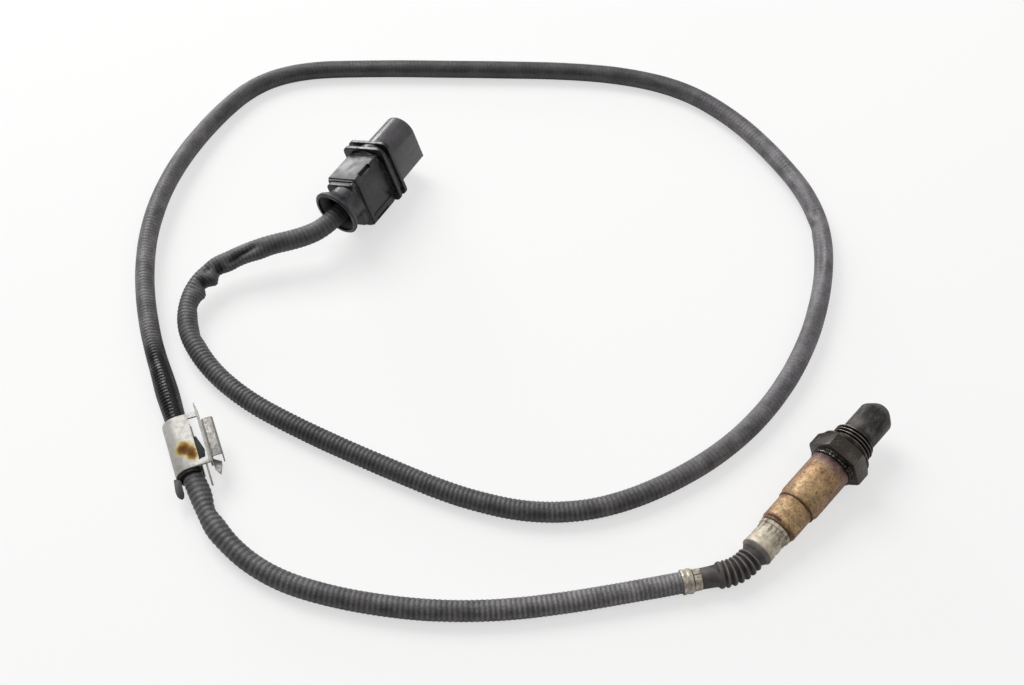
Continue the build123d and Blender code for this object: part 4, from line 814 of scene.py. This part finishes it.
# Silicone rubber: matt warm grey-black with a soft sheen, chalky dust and a painted highlight on
# the folds' crests, and painted shade in the grooves.
silicone = worn_surface("moulded_silicone_rubber", "#45413f", "#5c5855", 4.0, 0.45, 0.0, 0.5, 0.7,
                        0.07, 0.52)
tree, _, along = own_axes(silicone, HEAD_FRAME)
fold = add_node(tree, "Attribute", attribute_name="fold_height").outputs["Fac"]
crest_dust_and_highlight = add_node(tree, "MapRange", {0: fold, 1: 0.96})
patches = add_node(tree, "MapRange", {0: silicone.wear, 1: 0.5, 2: 0.9, 3: 0.2, 4: 0.8})
in_folds = between(tree, along["X"], *FOLDS_ALONG, 0.5)
groove_shade = add_node(tree, "MapRange", {0: fold, 1: 0.85, 2: 0.3, 4: 0.97})
paint(silicone, ("#8d8781", crest_dust_and_highlight, patches), ("#242120", groove_shade, in_folds))
finish_piece(boot, silicone, "boot_rubber", "bellows_boot")


# ---- boot's ferrule ----
# A plated steel ferrule crimped in two steps, over the boot's neck and over the conduit's end,
# with a rolled bulge at the conduit; the L-shaped slit at the top of the boot's side is only
# painted, as a dark line of painted shade.
FERRULE_PROFILE = [(3.8, 3.86), (3.8, 4.24), (3.7, 4.3), (2.2, 4.34), (1.0, 4.36), (0.6, 4.5),
                   (0.35, 4.8), (0.1, 4.96), (-0.7, 5.02), (-1.3, 4.9), (-1.8, 4.78),
                   (-2.4, 4.8), (-2.9, 5.0), (-3.35, 5.02), (-3.65, 4.85), (-3.7, 4.5),
                   (-3.6, 4.4), (-1.5, 4.4), (0.0, 4.4), (0.2, 3.9)]
RIPPLED_OVER = 4.2 * MM
STEP_LINE = (0.55, 0.95)
SLIT_ALONG = (0.7, 4.5)
SLIT_ACROSS = (-0.2, 0.16)
back_out = (corner - back).normalized()
ferrule_side = back_out.cross(UPWARD).normalized()
FERRULE_FRAME = Matrix((back_out, ferrule_side, ferrule_side.cross(back_out))).transposed().to_4x4()
FERRULE_FRAME.translation = back
ferrule = turned_body("crimped_ferrule", FERRULE_PROFILE)
# hand-crimped: the walls are a little uneven round the turn
for vert in ferrule.data.vertices:
    if math.hypot(vert.co.y, vert.co.z) > RIPPLED_OVER:
        turn = math.atan2(vert.co.z, vert.co.y)
        ripple = noise.noise((math.cos(turn) * 2.5, math.sin(turn) * 2.5, vert.co.x / MM / 2))
        push = 1 + 0.014 * ripple
        vert.co.y *= push
        vert.co.z *= push
ferrule.data.transform(FERRULE_FRAME)
bpy.ops.object.shade_smooth_by_angle(angle=math.radians(50))

# Ferrule plating: cream-silver like the collar's, scuffed, with brown marks, and painted shade
# along the crimp's step and in the slit, on the top only.
scuffed = worn_surface("scuffed_ferrule_plating", "#cfc7b9", "#a99e8d", 1.8, 0.4, 0.4, 0.32, 0.52,
                       0.1, 0.5)
tree, _, along = own_axes(scuffed, FERRULE_FRAME)
marked = grain(tree, scuffed.place, 1.6, 5.0, 0.7, 0.54, 0.64, 0.0, 0.75)
# painted shade: dark lines along the crimp's step and the slit, on the top only
step_shade = between(tree, along["X"], *STEP_LINE, 0.12)
top_only = add_node(tree, "MapRange", {0: along["Z"], 1: 0.5 * MM, 2: 3.0 * MM})
slit_along = between(tree, along["X"], *SLIT_ALONG, 0.1)
slit_across = between(tree, along["Y"], *SLIT_ACROSS, 0.08)
slit_shade = add_node(tree, "Math", {0: slit_along, 1: slit_across}, operation="MULTIPLY")
slit_and_step_shade = add_node(tree, "Math", {0: slit_shade, 1: step_shade}, operation="MAXIMUM")
paint(scuffed, ("#665540", marked), ("#2d2620", slit_and_step_shade, top_only))
finish_piece(ferrule, scuffed, "ferrule_steel", "boot_ferrule")


# ---- cable clip ----
# A stamped strip of galvanised steel rolled round the conduit, with two straps to a side blade
# and a toothed lug folded down. The zinc is bright and matt, spangled by dirt, and a drop of
# water has rusted a brown spot with a yellow halo beside the window.
CLIP_FRAME = (Matrix.Translation((-0.16205, 0.199, 0.0062))
              @ Matrix.Rotation(math.atan2(-0.4586, 0.8886), 4, "Z"))
# the rust spot's two lobes, each with its middle across toward the window, along away from the
# sensor, and up, in mm, and how it is squashed along each
RUST_LOBES = [((1.4, 0.0, 6.2), (1.0, 1.0, 0.3)), ((3.9, -3.0, 6.2), (1.5, 0.95, 0.3))]
RUST = [(0.0, "#cfcaa4"), (0.28, "#c6b26c"), (0.45, "#9c7830"), (0.66, "#6b4510"), (1.0, "#53300a")]
TEETH_DOWN = (-8.0, -2.2)
TEETH_ACROSS = (6.3, 7.8)
BLADE_ACROSS = (8.1, 11.0)
band = softened_copy("retaining_clip", "rolled_clip", 0.12)
# Galvanised sheet: pale grey zinc, matt, with the rust dull and powdery.
zinc = worn_surface("galvanised_steel_sheet", "#b4b2ac", "#a3a19b", 2.4, 0.35, 0.3, 0.46, 0.6,
                    0.04, 0.56)
tree, axes, along = own_axes(zinc, CLIP_FRAME)
wander = add_node(tree, "TexNoise", {"Vector": zinc.place, "Scale": 1000 / 2.6, "Detail": 4.0,
                                     "Roughness": 0.6}).outputs["Color"]
shifted = add_node(tree, "VectorMath", {0: wander, 1: (3.0 * MM, 3.0 * MM, 0), 2: axes},
                   operation="MULTIPLY_ADD")
lobes = []
for middle, squash in RUST_LOBES:
    apart = add_node(tree, "VectorMath", {0: shifted, 1: Vector(middle) * MM},
                     operation="SUBTRACT")
    pressed = add_node(tree, "VectorMath", {0: apart, 1: squash}, operation="MULTIPLY")
    lobes.append(add_node(tree, "VectorMath", {0: pressed}, operation="LENGTH"))
nearest = add_node(tree, "Math", {0: lobes[0], 1: lobes[1], 2: 2.2 * MM}, operation="SMOOTH_MIN")
inward = add_node(tree, "MapRange", {0: nearest, 1: 4.6 * MM, 2: 0.2 * MM})
rust_shade = add_node(tree, "ValToRGB", {0: inward}, RUST)
share = add_node(tree, "MapRange", {0: inward, 2: 0.42})
low_down = between(tree, along["Z"], *TEETH_DOWN, 0.6)
beside = between(tree, along["X"], *TEETH_ACROSS, 0.2)
on_blade = between(tree, along["X"], *BLADE_ACROSS, 0.1)
# painted shade: the side blade is greyed
blade_shade = add_node(tree, "MapRange", {0: on_blade, 4: 0.55})
matt = add_node(tree, "Mix", {0: share, 2: zinc.gloss, 3: 0.8}, data_type="FLOAT")
paint(zinc, (rust_shade, share), ("#6a6864", blade_shade), ("#5d4138", low_down, beside),
      Roughness=matt)
finish_piece(band, zinc, "clip_steel", "retaining_clip")


# ---- edge spring of the clip ----
# A channel of thinner spring steel that slides over the blade and grips a panel's edge, with a
# tongue folded out below. Its zinc is grittier and greyer than the band's.
channel = softened_copy("edge_spring", "panel_spring", 0.14)
finish_piece(channel, worn_surface("gritty_zinc_spring_steel", "#a3a19c", "#7d7a75", 1.6, 0.4,
                                   0.35, 0.42, 0.6, 0.12, 0.52), "clip_steel", "edge_spring")


# ---- rubber liner of the clip ----
# A split sleeve of black rubber between the band and the conduit, so the clip doesn't chafe it,
# with a tab that hangs out toward the sensor and a flap pressed out through the window.
# Calendered rubber sheet: near black, dull, with a scuffed grain.
liner = softened_copy("clip_liner", "split_liner", 0.2)
finish_piece(liner, worn_surface("calendered_rubber_sheet", "#0f0e10", "#262526", 3.0, 0.4, 0.0,
                                 0.45, 0.65, 0.08, 0.6), "liner_rubber", "clip_liner")


# ---- plug housing ----
# Glass-filled polyamide, injection-moulded in one piece: a D-shaped nose that enters the socket,
# the gasket's seat, and a square body with a latch slot, a moulded arch and two ejector bosses.
PLUG_FRAME = Matrix(((0.97069691, 0.2366304, -0.04187565), (0.04812658, -0.3621567, -0.93087398),
                     (-0.23543863, 0.90158116, -0.3629326))).transposed().to_4x4()
PLUG_FRAME.translation = (-0.00148, 0.24905, 0.0165675)
# moulded lumps: size and middle along, down and across, and the edges' rounding, in mm
PLUG_LUMPS = [("front_ejector_boss", (1.8, 1.7, 1.3), (-7.9, -9.5, -8.4), 0.55),
              ("rear_ejector_boss", (2.6, 2.2, 2.0), (-27.2, -9.9, -7.5), 0.8),
              ("gasket_arch", (1.1, 2.2, 10.6), (-6.9, -11.1, -1.0), 0.5),
              ("side_rib", (1.1, 20.5, 1.0), (-24.2, 2.6, -8.2), 0.45),
              ("lower_rail", (14.5, 1.6, 0.9), (-15.4, 10.4, -8.35), 0.4)]
SLOT_ALONG = (-21.2, -13.2)
SLOT_DOWN = (-12.9, -9.8)
SLOT_DEEP = (-8.25, -6.5)
NOSE_START = 2.0 * MM
plug_body = softened_copy("plug_housing", "moulded_plug", 0.32, 3)
lumps = []
for name, size, middle, edge in PLUG_LUMPS:
    lump = start_from(bpy.ops.mesh.primitive_cube_add, name, size=1)
    lump.data.transform(Matrix.Diagonal((*(c * MM for c in size), 1)))
    lump.data.transform(PLUG_FRAME @ Matrix.Translation([c * MM for c in middle]))
    round_edges(lump, edge, 4)
    face_outwards()
    bpy.ops.object.shade_smooth_by_angle(angle=math.radians(40))
    lumps.append(lump)

# Moulded polyamide: satin black-grey from the glass fibre, scuffed paler in streaks along it, paler
# and smoother on the nose, and painted black with shade in the latch slot.
polyamide = worn_surface("glass_filled_polyamide", "#1f1e21", "#39383b", 5.0, 0.4, 0.0, 0.32, 0.5,
                         0.05, 0.55)
tree, axes, along = own_axes(polyamide, PLUG_FRAME)
nose = add_node(tree, "MapRange", {0: along["X"], 2: NOSE_START, 4: 0.55})
stretched = add_node(tree, "Mapping", {"Vector": axes, "Scale": (0.25, 1.0, 1.0)})
scuffs = grain(tree, stretched, 2.4, 6.0, 0.7, 0.45, 0.75, 0.0, 0.8)
on_nose = add_node(tree, "Math", {0: scuffs, 1: 0.5, 2: nose}, operation="MULTIPLY_ADD",
                   use_clamp=True)
# painted shade: the latch slot's recess is painted black
slot_shade = between(tree, along["X"], *SLOT_ALONG, 0.2)
slot_height = between(tree, along["Y"], *SLOT_DOWN, 0.2)
recessed = between(tree, along["Z"], *SLOT_DEEP, 0.1)
smoother = add_node(tree, "MapRange", {0: along["X"], 2: NOSE_START, 4: 0.75})
polished = add_node(tree, "Mix", {0: smoother, 2: polyamide.gloss, 3: 0.24}, data_type="FLOAT")
paint(polyamide, ("#59575a", on_nose), ("#050505", slot_shade, slot_height, recessed),
      Roughness=polished)
finish_piece(plug_body, polyamide, "plug_plastic", "plug_housing")
for lump in lumps:
    finish_piece(lump, polyamide, "plug_plastic")


# ---- plug's backshell ----
# The rear cover snaps on the body and ends in a flared bell mouth with a thin rim, which the
# conduit enters. It is moulded of the same polyamide.
MOUTH_RIM = PLUG_FRAME @ (Vector((-37.0, -1.1, -0.6)) * MM)
MOUTH_DIR = (Vector(CONDUIT_ROUTE[-1]) - Vector(CONDUIT_ROUTE[-2])).normalized()
MOUTH_FLARE = -0.75
RIM_REACH = 10.2 * MM
BORE_REACH = 7.2 * MM
backshell = softened_copy("plug_backshell", "bell_backshell", 0.25, 3)
# The cover's polyamide is rubbed paler by handling, and its mouth is painted black inside with
# shade.
cover = worn_surface("handled_polyamide", "#232225", "#414044", 4.0, 0.4, 0.0, 0.32, 0.5, 0.05,
                     0.52)
tree = cover.tree
from_rim = add_node(tree, "VectorMath", {0: cover.place, 1: MOUTH_RIM}, operation="SUBTRACT")
depth = add_node(tree, "VectorMath", {0: from_rim, 1: MOUTH_DIR}, operation="DOT_PRODUCT")
off_axis = add_node(tree, "VectorMath", {0: from_rim, 1: MOUTH_DIR}, operation="CROSS_PRODUCT")
reach = add_node(tree, "VectorMath", {0: off_axis}, operation="LENGTH")
# the bore narrows inward, and its wall is always inside this cone
cone = add_node(tree, "Math", {0: depth, 1: MOUTH_FLARE, 2: RIM_REACH}, operation="MULTIPLY_ADD")
bore = add_node(tree, "Math", {0: cone, 1: BORE_REACH}, operation="MAXIMUM")
# painted shade: the bore inside the mouth is black
inside = add_node(tree, "Math", {0: reach, 1: bore}, operation="LESS_THAN")
paint(cover, ("#070707", inside))
finish_piece(backshell, cover, "plug_plastic", "plug_backshell")


# ---- plug's gasket ----
# A lip seal of oil-wet black silicone round the nose, with two thin lips that the socket squeezes.
# It is glossy where it's wet, and duller and greyer where dust has stuck to it.
gasket = softened_copy("plug_gasket", "two_lip_gasket", 0.5, 4)
finish_piece(gasket, worn_surface("oiled_silicone_gasket", "#141315", "#2f2d31", 3.5, 0.5, 0.0,
                                  0.27, 0.46, 0.08, 0.56), "gasket_rubber", "plug_gasket")


# ---- terminals, carrier, lock and trim resistor inside the plug ----
# Six tin-plated blades sit in a polyamide carrier, held by a comb-shaped lock. A small ceramic
# resistor trims the sensor's signal. They show only in the socket, so the CAD bodies stay.
# Tin-plated bronze: bright and slightly yellow, with fretting marks.
refinish(worn_surface("tin_plated_bronze", "#d2ccbd", "#9f9683", 1.5, 0.2, 1.0, 0.2, 0.42, 0.02),
         "contact_pins")
# Natural polyamide: milky, waxy grey-green, darker where it was handled.
refinish(worn_surface("natural_polyamide", "#b9bcae", "#8d9084", 2.5, 0.3, 0.0, 0.35, 0.5, 0.03),
         "pin_carrier")
# Dyed polyester lock: violet, glossier than the carrier.
refinish(worn_surface("dyed_polyester_lock", "#6a5a86", "#50446a", 2.5, 0.3, 0.0, 0.25, 0.4, 0.02),
         "terminal_lock")
# Resistor: green enamel over a ceramic body, faintly orange-peeled.
refinish(worn_surface("resistor_enamel", "#3d6b5c", "#2c4f44", 1.0, 0.2, 0.0, 0.18, 0.3, 0.03),
         "trim_resistor")
